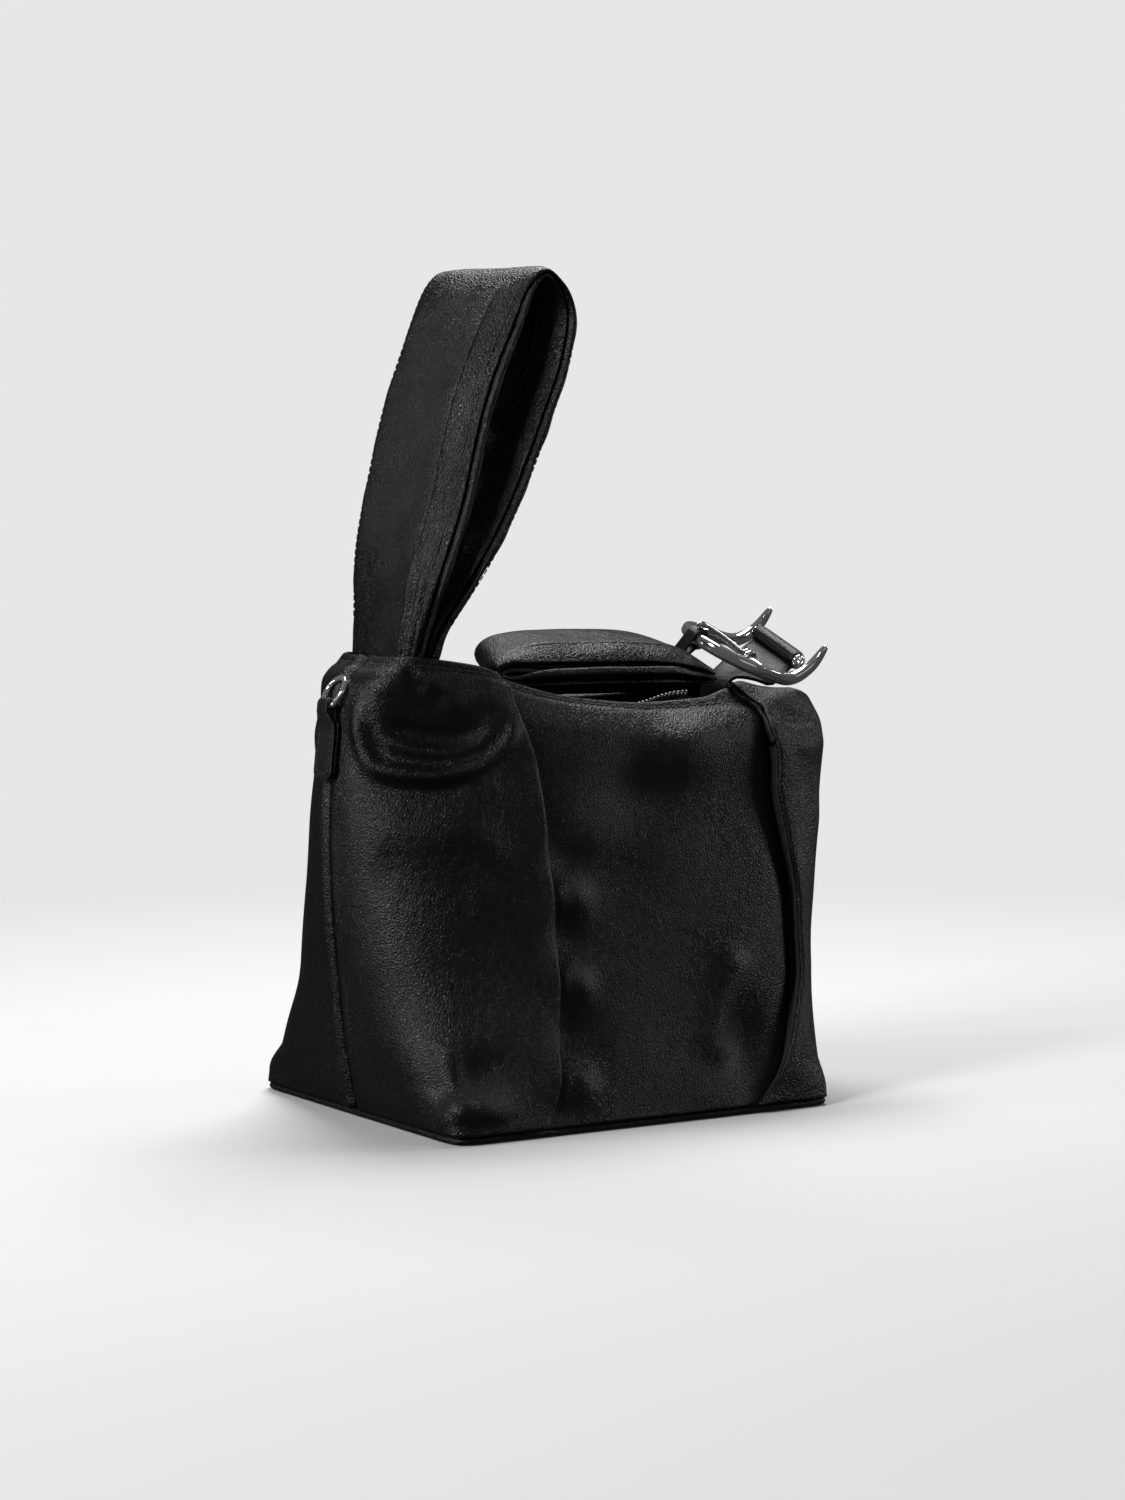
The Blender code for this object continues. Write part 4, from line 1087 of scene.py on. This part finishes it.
def joined(name, meshes):
    form = bmesh.new()
    for mesh in meshes:
        form.from_mesh(mesh)
    result = bpy.data.meshes.new(name)
    form.to_mesh(result)
    form.free()
    result.shade_smooth()
    return result


def chape_line(matrix):
    """The chape's middle line: out of the mouth, then round the upper bar."""
    radius = WRAP_RADIUS - CHAPE_THICKNESS / 2
    centres = [(x, 0.0, z) for x, z in through(CHAPE_ROUTE, 26)]
    for angle in np.radians(np.linspace(-112.0, 200.0, 54)):
        centres.append(tuple(matrix @ Vector((radius * math.cos(angle), 0.0, radius * math.sin(angle)))))
    return np.array(centres)


def build_chape(matrix):
    """The strap that climbs out of the mouth and wraps the upper bar, with stitched edges."""
    centres = chape_line(matrix)
    level = np.array([0.0, -1.0, 0.0])
    bar_way = np.array(matrix.to_3x3() @ Vector(level))
    turn = full_turn(32)
    acrosses, sections = [], []
    for k, centre in enumerate(centres):
        share = float(smooth(CHAPE_ROLL, centre[0]))
        acrosses.append(unit((1 - share) * level + share * bar_way))
        half = float(smooth(CHAPE_WIDTHS, centre[0])) / 2
        thick = CHAPE_THICKNESS / 2 * (1.0 if k < len(centres) - 8 else 0.75)
        sections.append(np.column_stack([half * squared(np.cos(turn), 0.25),
                                         thick * squared(np.sin(turn), 0.6)]))
    acrosses = np.array(acrosses)
    outward = unit(np.cross(acrosses, np.gradient(centres, axis=0)))
    rings = [c + s[:, :1] * a + s[:, 1:] * n for c, a, n, s in zip(centres, acrosses, outward, sections)]
    mesh = solid("buckle_chape_leather", rings)
    new_object("buckle_chape_leather", mesh, TRIM_LEATHER, "bag", "buckle_chape", slot="trim_leather")
    for side, name in ((1.0, "near"), (-1.0, "far")):
        half = smooth(CHAPE_WIDTHS, centres[:, 0])[:, None] / 2 - 0.0025
        line = centres + acrosses * side * half + outward * CHAPE_THICKNESS / 2
        stitch_row("chape_thread_" + name, line[20:-14], outward[20:-14], "bag")


def build_collars(matrix):
    """A small ring on the upper bar at each side of the chape."""
    collars = []
    for side in (-1.0, 1.0):
        offset = matrix @ Matrix.Translation((0.0, side * COLLAR_PLACE, 0.0))
        collars.append(torus_mesh("collar", 0.0025, 0.0010, offset))
    new_object("buckle_bar_collars", joined("buckle_bar_collars", collars), CHROME, "buckle", slot="chrome")


def build_handle_loop(matrix):
    """The narrow strap that ties the short handle to the frame's closed end."""
    clear = FRAME_HALF_WIDTH + 0.0012
    profile = [(0.0062, -0.0085)]
    for turn in np.radians(np.linspace(10.0, 270.0, 40)):
        profile.append((clear * math.cos(turn), clear * math.sin(turn)))
    profile.append((0.0036, -0.0102))
    rows = []
    for radial, lift in profile:
        row = []
        for angle in np.radians(np.linspace(173.0, 187.0, 13)):
            reach = HORSESHOE_RADIUS + radial
            row.append(matrix @ Vector((HORSESHOE_MIDDLE + reach * math.cos(angle), reach * math.sin(angle),
                                        HORSESHOE_HEIGHT + lift)))
        rows.append([tuple(point) for point in row])
    mesh = grid_mesh("short_handle_strap", np.array(rows))
    item = new_object("short_handle_strap", mesh, TRIM_LEATHER, "short_handle", "short_handle_loop",
                      slot="trim_leather")
    thicken(item, 0.0014, 0.0)
    soften(item, 0.0004)


def soften(item, width):
    """Rounds the sharp edges that a sheet's thickness leaves."""
    edge = item.modifiers.new("edge", "BEVEL")
    edge.width = width
    edge.segments = 2
    edge.limit_method = "ANGLE"
    edge.angle_limit = SHARP_ANGLE


def build_buckle():
    matrix = buckle_matrix()
    build_buckle_frame(matrix)
    half = HORSESHOE_RADIUS - FRAME_HALF_WIDTH - 0.0004
    build_bar("upper_bar_chrome", 0.0016, half, matrix, "buckle_upper_bar")
    lower = matrix @ Matrix.Translation((LOWER_BAR_X, 0.0, HORSESHOE_HEIGHT))
    build_bar("lower_bar_chrome", 0.0014, half, lower, "buckle_lower_bar")
    build_tongue(matrix)
    build_chape(matrix)
    build_collars(matrix)
    build_handle_loop(matrix)


# D-rings and tabs

RING_HALF_WIDTH = 0.0068
RING_WIRE = 0.0013
RING_HEIGHT = 0.0160
RING_CORNER = 0.0018
# Each ring's place, its lean and its tab's lean in degrees, and the way its tab's outer face looks along X
RINGS = {
    "left": ((-0.1115, 0.0, 0.1830), 33.0, 6.0, 1.0),
    "right": ((0.1392, 0.0, 0.1600), -12.0, 11.0, -1.0),
}


def build_ring(side, place, lean):
    arch = RING_HEIGHT - 2 * RING_WIRE - RING_HALF_WIDTH
    foot = RING_HALF_WIDTH - RING_CORNER
    points = [(y, 0.0) for y in np.linspace(-foot, foot, 9)]
    for angle in np.radians(np.linspace(-18.0, 198.0, 44)):
        points.append((RING_HALF_WIDTH * math.cos(angle), arch + RING_HALF_WIDTH * math.sin(angle)))
    points = np.array(points)
    closed = np.vstack([points, points[:1]])
    line = evenly(closed, 121)[:-1]
    line = (np.roll(line, 1, axis=0) + 2 * line + np.roll(line, -1, axis=0)) / 4
    tangents = unit(np.roll(line, -1, axis=0) - np.roll(line, 1, axis=0))
    out = np.column_stack([tangents[:, 1], -tangents[:, 0]])
    turn = full_turn(18)
    lift, spread = RING_WIRE * np.sin(turn), RING_WIRE * np.cos(turn)
    rings = []
    for (y, z), (oy, oz) in zip(line, out):
        rings.append(np.column_stack([lift, y + oy * spread, z + oz * spread]))
    mesh = ring_solid(side + "_ring_chrome", rings)
    place_mesh(mesh, Matrix.Translation(place) @ Matrix.Rotation(math.radians(lean), 4, "Y"))
    new_object(side + "_ring_chrome", mesh, CHROME, side + "_ring", side + "_d_ring", slot="chrome")


TAB_THICKNESS = 0.0013
TAB_WIDTH = 0.0155
TAB_NECK = 0.0085
TAB_LENGTH = 0.0330
TAB_FOOT = 0.0045
TAB_GAP = 0.0004
TAB_STITCH_TOP = -0.0125


def build_tab(side, place, lean, outward):
    """A strip folded over the ring's bar: a narrow neck, square shoulders and a rounded foot."""
    radius = RING_WIRE + TAB_GAP + TAB_THICKNESS / 2
    flat = TAB_THICKNESS + TAB_GAP
    front = [(radius, z) for z in np.linspace(-TAB_LENGTH, -0.0030, 44)]
    bend = [(radius * math.cos(t), radius * math.sin(t)) for t in np.linspace(0.0, math.pi, 24)]
    back = [(-radius, -0.0030), (radius - flat - TAB_GAP, -0.0085)]
    back += [(radius - flat, z) for z in np.linspace(-0.0120, -TAB_LENGTH, 30)]
    grid = []
    for x, z in front + bend + back:
        shoulder = float(ease((-z - 0.0062) / 0.0030))
        width = TAB_NECK + (TAB_WIDTH - TAB_NECK) * shoulder
        foot = max(0.0, -z - (TAB_LENGTH - TAB_FOOT)) / TAB_FOOT
        width *= math.sqrt(max(1 - 0.55 * foot ** 2.5, 0.05))
        grid.append([(outward * x, y * width / 2, z) for y in np.linspace(-1.0, 1.0, 13)])
    mesh = grid_mesh(side + "_tab_leather", np.array(grid))
    matrix = Matrix.Translation(place) @ Matrix.Rotation(math.radians(lean), 4, "Y")
    place_mesh(mesh, matrix)
    item = new_object(side + "_tab_leather", mesh, TRIM_LEATHER, "bag", side + "_ring_tab",
                      slot="trim_leather")
    thicken(item, TAB_THICKNESS, 0.0)
    soften(item, 0.0004)
    stitch_tab(side, matrix, outward, radius)


def stitch_tab(side, matrix, outward, radius):
    """Stitches round both faces of the tab, a little inside its edge."""
    half = TAB_WIDTH / 2 - 0.0024
    face = -outward * (radius - TAB_THICKNESS - TAB_GAP - TAB_THICKNESS / 2)
    reach = radius + TAB_THICKNESS / 2
    foot = -TAB_LENGTH + 0.0028
    path = [(-half, TAB_STITCH_TOP), (-half, foot + 0.002), (-half + 0.002, foot), (half - 0.002, foot),
            (half, foot + 0.002), (half, TAB_STITCH_TOP)]
    line = evenly(path, 60)
    for name, x, way in (("outer", outward * reach, outward), ("inner", face, -outward)):
        route = np.array([matrix @ Vector((x, y, z)) for y, z in line])
        normal = np.array(matrix.to_3x3() @ Vector((way, 0.0, 0.0)))
        stitch_row(side + "_tab_thread_" + name, route, np.tile(normal, (len(route), 1)), "bag", pitch=0.0030,
                   length=0.0022, half_width=0.00040)


def build_rings():
    for side, (place, lean, tab_lean, outward) in RINGS.items():
        build_ring(side, place, lean)
        build_tab(side, place, tab_lean, outward)


# Zip

ZIP_ROUTE = ((-0.0670, 0.0017), (-0.0500, 0.0017), (-0.0400, 0.0060), (-0.0280, 0.0150), (-0.0060, 0.0208),
             (0.0300, 0.0228), (0.0650, 0.0222), (0.0820, 0.0180), (0.0880, 0.0110))
ZIP_DROP = 0.0060
ZIP_LEVEL_FROM = -0.035
TEETH_HEIGHT = 0.0022
TOOTH_PITCH = 0.0020
TAPE_LOW = 0.0112
TAPE_HIGH = 0.0008
TAPE_THICKNESS = 0.0006
PULLER_WIRE = 0.0008
SLIDER_LAYERS = ((-1.0, 0.86), (-0.85, 0.97), (-0.3, 1.0), (-0.1, 0.90), (0.1, 0.90), (0.3, 1.0), (0.8, 0.95),
                 (1.0, 0.74))


def build_teeth(name, line, stagger):
    """Separate teeth along one side of the mouth. The two sides are staggered, as they mesh when closed."""
    reach = reach_along(line)
    form = bmesh.new()
    for k in range(int(reach[-1] / TOOTH_PITCH)):
        place = (k + 0.5 + stagger) * TOOTH_PITCH
        centre = point_at(place, reach, line)
        way = unit(point_at(place + 0.0005, reach, line) - centre)
        foot, tip = centre - np.array([0.0, 0.0, 0.0012]), centre + np.array([0.0, 0.0, 0.0020])
        bar_form(form, foot, tip, 0.0007, 0.0010, way)
    mesh = mesh_of(name + "_teeth", form)
    new_object(name + "_teeth", mesh, ZIP_METAL, "bag", name + "_zip_teeth", slot="zip_metal")


def build_zip():
    """Teeth and tape along each side of the mouth."""
    for side, name in ((-1.0, "front"), (1.0, "back")):
        x, y = through(ZIP_ROUTE, 400).T
        z = smooth(RIM_HEIGHT, np.maximum(x, ZIP_LEVEL_FROM)) - ZIP_DROP
        line = np.column_stack([x, side * y, z - TEETH_HEIGHT / 2])
        build_teeth(name, line, side * 0.25)
        grid = np.array([line - np.array([0.0, 0.0, depth]) for depth in np.linspace(TAPE_LOW, TAPE_HIGH, 5)])
        mesh = grid_mesh(name + "_tape", grid)
        tape = new_object(name + "_tape", mesh, TAPE_CLOTH, "bag", name + "_zip_tape", slot="zip_tape")
        thicken(tape, TAPE_THICKNESS, 0.0)


def build_slider():
    """Zip slider: a crowned shield, wide where the rows part and narrow where they meet."""
    middle, half = middle_and_half(*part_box("zip_slider"))
    turn = full_turn(48)
    along = squared(np.cos(turn), 0.7)
    wide = squared(np.sin(turn), 0.7) * (0.80 + 0.20 * along)
    rings = []
    for lift, size in SLIDER_LAYERS:
        level = np.full(len(turn), middle.z + half.z * lift)
        rings.append(np.column_stack([middle.x + half.x * size * along, middle.y + half.y * size * wide,
                                      level]))
    mesh = solid("slider_body", rings)
    mesh.set_sharp_from_angle(angle=SHARP_ANGLE)
    new_object("slider_body", mesh, ZIP_METAL, "bag", "zip_slider", slot="zip_metal")


def build_puller():
    """Zip puller: a long flat ring with a softened edge."""
    middle, half = middle_and_half(*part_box("zip_puller"))
    rings = []
    for angle in full_turn(72):
        c, t = math.cos(angle), math.sin(angle)
        rim = np.array([middle.x + half.x * squared(c, 0.6), middle.y + half.y * squared(t, 0.6)])
        inward = -unit(np.array([c * 0.35, t]))
        section = []
        for way in full_turn(12):
            place = rim + inward * PULLER_WIRE * (1 - math.cos(way))
            section.append((place[0], place[1], middle.z + half.z * math.sin(way)))
        rings.append(section)
    mesh = ring_solid("puller_ring", rings)
    new_object("puller_ring", mesh, ZIP_METAL, "zip_puller", "zip_puller", slot="zip_metal")


# Inside of the bag

POCKET_COLUMNS = 60
SLACK = 0.0010


def build_pocket():
    """Slip pocket on the back lining, whose hemmed mouth stands a little open."""
    low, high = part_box("slip_pocket")
    middle_z = SURFACE[:, FINE // 2, 2]
    first, last = np.interp((low.z, high.z), middle_z, HEIGHTS)
    across = np.linspace(-1.0, 1.0, POCKET_COLUMNS)
    rows = []
    for lift in np.linspace(0.0, 1.0, 36):
        height = first + (last - first) * lift
        row_x = on_surface(SURFACE, SHARES, np.full(FINE, height))[:, 0]
        share = np.interp(np.linspace(low.x, high.x, POCKET_COLUMNS), row_x, SHARES)
        loose = (1 - across ** 6) * (1 - (1 - lift) ** 6)
        gape = 0.0022 * ease((lift - 0.6) / 0.4) * (1 - across ** 2)
        wave = 0.0004 * np.sin(9 * across + 5 * lift)
        inset = -0.0034 - 0.0030 * loose - gape - wave * loose
        rows.append(raise_sheet(share, np.full(POCKET_COLUMNS, height), inset))
    mesh = grid_mesh("pocket_cloth", other_side(np.array(rows))[:, ::-1])
    item = new_object("pocket_cloth", mesh, LINING_CLOTH, "bag", "slip_pocket", slot="lining")
    thicken(item, CLOTH)


def build_floor_lining():
    """Cloth over the base board, laid with a few slack ripples."""
    low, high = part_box("base_lining")
    x, y = np.meshgrid(np.linspace(low.x, high.x, 90), np.linspace(low.y, high.y, 80))
    edge = 1.0
    for inset in (x - low.x, high.x - x, y - low.y, high.y - y):
        edge = edge * ease(inset / 0.01)
    ripple = 0.5 + 0.3 * np.sin(70 * x + 40 * y) + 0.2 * np.sin(55 * y - 90 * x + 1.0)
    mesh = grid_mesh("floor_lining_cloth", np.stack([x, y, high.z - 0.0002 + SLACK * edge * ripple], axis=-1))
    item = new_object("floor_lining_cloth", mesh, LINING_CLOTH, "bag", "base_lining", slot="lining")
    thicken(item, CLOTH)


def build_anchor():
    """Rolled leather the tall handle's roots are sewn to, with lengthwise gathers."""
    middle, half = middle_and_half(*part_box("long_handle_anchor"))
    turn = full_turn(64)
    rings = []
    for along in np.linspace(-1.0, 1.0, 61):
        full = 0.55 + 0.45 * (1 - abs(along) ** 10) ** 0.5
        fold = full * (0.965 + 0.035 * np.sin(9 * turn + 2.5 * along))
        rings.append(np.column_stack([middle.x + half.x * fold * squared(np.cos(turn), 0.6),
                                      np.full(len(turn), middle.y + half.y * along),
                                      middle.z + half.z * fold * squared(np.sin(turn), 0.6)]))
    mesh = solid("handle_anchor", rings)
    new_object("handle_anchor", mesh, TRIM_LEATHER, "bag", "long_handle_anchor", slot="trim_leather")


# Base

BASE_SHARE = 0.996
BASE_EDGE = ((0.0016, 0.0), (0.0005, 0.0004), (0.0, 0.0012), (0.0003, 0.0026), (0.0012, 0.0034))


def build_base():
    """The flat base with a rounded edge, a little inside the panels."""
    outline = evenly(SURFACE[0][:, :2] * BASE_SHARE, 160)
    ring = np.vstack([outline, (outline * np.array([1.0, -1.0]))[::-1][1:-1]])
    rings = []
    for inset, z in BASE_EDGE:
        shrink = 1 - inset / 0.09
        rings.append(np.column_stack([ring * shrink, np.full(len(ring), z)]))
    mesh = solid("base_leather", rings)
    mesh.set_sharp_from_angle(angle=math.radians(60))
    new_object("base_leather", mesh, BODY_LEATHER, "bag", "base_panel", slot="black_leather")


# Stage, lights and camera

BACKDROP = (0.799, 0.799, 0.791)
WORLD_LIGHT = 0.06
FLOOR_COLOUR = (0.80, 0.80, 0.79)
FLOOR_RADIUS = 2.2
LIGHT_AIM = (0.02, 0.0, 0.16)
# Each light's name, place, size in metres and power in watts
LIGHTS = (
    ("top_box", (0.35, 0.50, 1.45), (0.9, 0.6), 22.0),
    ("key_left", (-1.35, -0.30, 1.10), (0.40, 0.40), 12.0),
    ("left_strip", (-1.5, 0.35, 0.45), (0.22, 0.8), 7.0),
    ("right_strip", (1.5, -0.30, 0.6), (0.2, 0.8), 4.0),
    ("front_box", (0.35, -1.8, 0.55), (1.2, 0.6), 1.0),
)


def set_stage():
    """A pale round floor whose rim fades out, so that it meets the background without a horizon."""
    form = bmesh.new()
    bmesh.ops.create_circle(form, cap_ends=True, segments=96, radius=FLOOR_RADIUS)
    mesh = bpy.data.meshes.new("floor")
    form.to_mesh(mesh)
    form.free()
    material, tree, shader = start_material("floor_paper", FLOOR_COLOUR, 0.9)
    shader.inputs["Specular IOR Level"].default_value = 0.1
    place = place_output(tree, False)
    distance = add_node(tree, "ShaderNodeVectorMath", operation="LENGTH")
    feed(tree, distance.inputs[0], place)
    shown = ramp(tree, distance.outputs["Value"], 0.16 * FLOOR_RADIUS, 0.50 * FLOOR_RADIUS, 1.0, 0.0)
    feed(tree, shader.inputs["Alpha"], shown)
    fibre = add_node(tree, "ShaderNodeTexNoise", Vector=place, Scale=60.0, Detail=4.0)
    feed(tree, shader.inputs["Roughness"], ramp(tree, fibre.outputs["Fac"], 0.3, 0.7, 0.86, 0.94))
    item = linked("floor", mesh, material)
    item.location.z = CAD_BOX[0][2] - 0.0002
    # The object doesn't mirror the floor or take light from it
    item.visible_glossy = False
    item.visible_diffuse = False


def add_area(name, place, size, power):
    light = bpy.data.lights.new(name, "AREA")
    light.shape = "RECTANGLE"
    light.size, light.size_y = size
    light.energy = power
    item = linked(name, light)
    item.location = place
    item.rotation_euler = (Vector(place) - Vector(LIGHT_AIM)).to_track_quat("Z", "Y").to_euler()


def set_lights():
    """The lights, and a world that shows the bright backdrop to the camera alone."""
    for light in LIGHTS:
        add_area(*light)
    world = bpy.data.worlds.new("studio")
    world.use_nodes = True
    tree = world.node_tree
    shown = tree.nodes["Background"]
    shown.inputs["Color"].default_value = (*BACKDROP, 1.0)
    dim = add_node(tree, "ShaderNodeBackground", Color=(*BACKDROP, 1.0), Strength=WORLD_LIGHT)
    seen = tree.nodes.new("ShaderNodeLightPath")
    mix = tree.nodes.new("ShaderNodeMixShader")
    tree.links.new(seen.outputs["Is Camera Ray"], mix.inputs["Fac"])
    tree.links.new(dim.outputs["Background"], mix.inputs[1])
    tree.links.new(shown.outputs["Background"], mix.inputs[2])
    tree.links.new(mix.outputs["Shader"], tree.nodes["World Output"].inputs["Surface"])
    bpy.context.scene.world = world


CAMERA_AZIMUTH = -32.025
CAMERA_ELEVATION = 4.321
CAMERA_DISTANCE = 1.6076
CAMERA_AIM = (0.0, 0.0, 0.1585)
CAMERA_SHIFT = 0.01235


def set_camera():
    turn, rise = math.radians(CAMERA_AZIMUTH), math.radians(CAMERA_ELEVATION)
    back = Vector((math.sin(turn) * math.cos(rise), -math.cos(turn) * math.cos(rise), math.sin(rise)))
    data = bpy.data.cameras.new("camera")
    data.lens = 85.0
    data.sensor_width = 36.0
    data.shift_x = CAMERA_SHIFT
    camera = linked("camera", data)
    camera.location = Vector(CAMERA_AIM) + back * CAMERA_DISTANCE
    camera.rotation_euler = back.to_track_quat("Z", "Y").to_euler()
    bpy.context.scene.camera = camera


def dress_base_board():
    """The base board is the one CAD node that stays in sight, under the floor lining."""
    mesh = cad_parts["base_board"].data
    mesh.materials.clear()
    mesh.materials.append(BOARD)


dress_base_board()
build_panels()
build_base()
build_long_handle()
build_short_handle()
build_buckle()
build_rings()
build_zip()
build_slider()
build_puller()
build_pocket()
build_floor_lining()
build_anchor()
set_stage()
set_lights()
set_camera()
bpy.context.scene.view_settings.view_transform = "Standard"
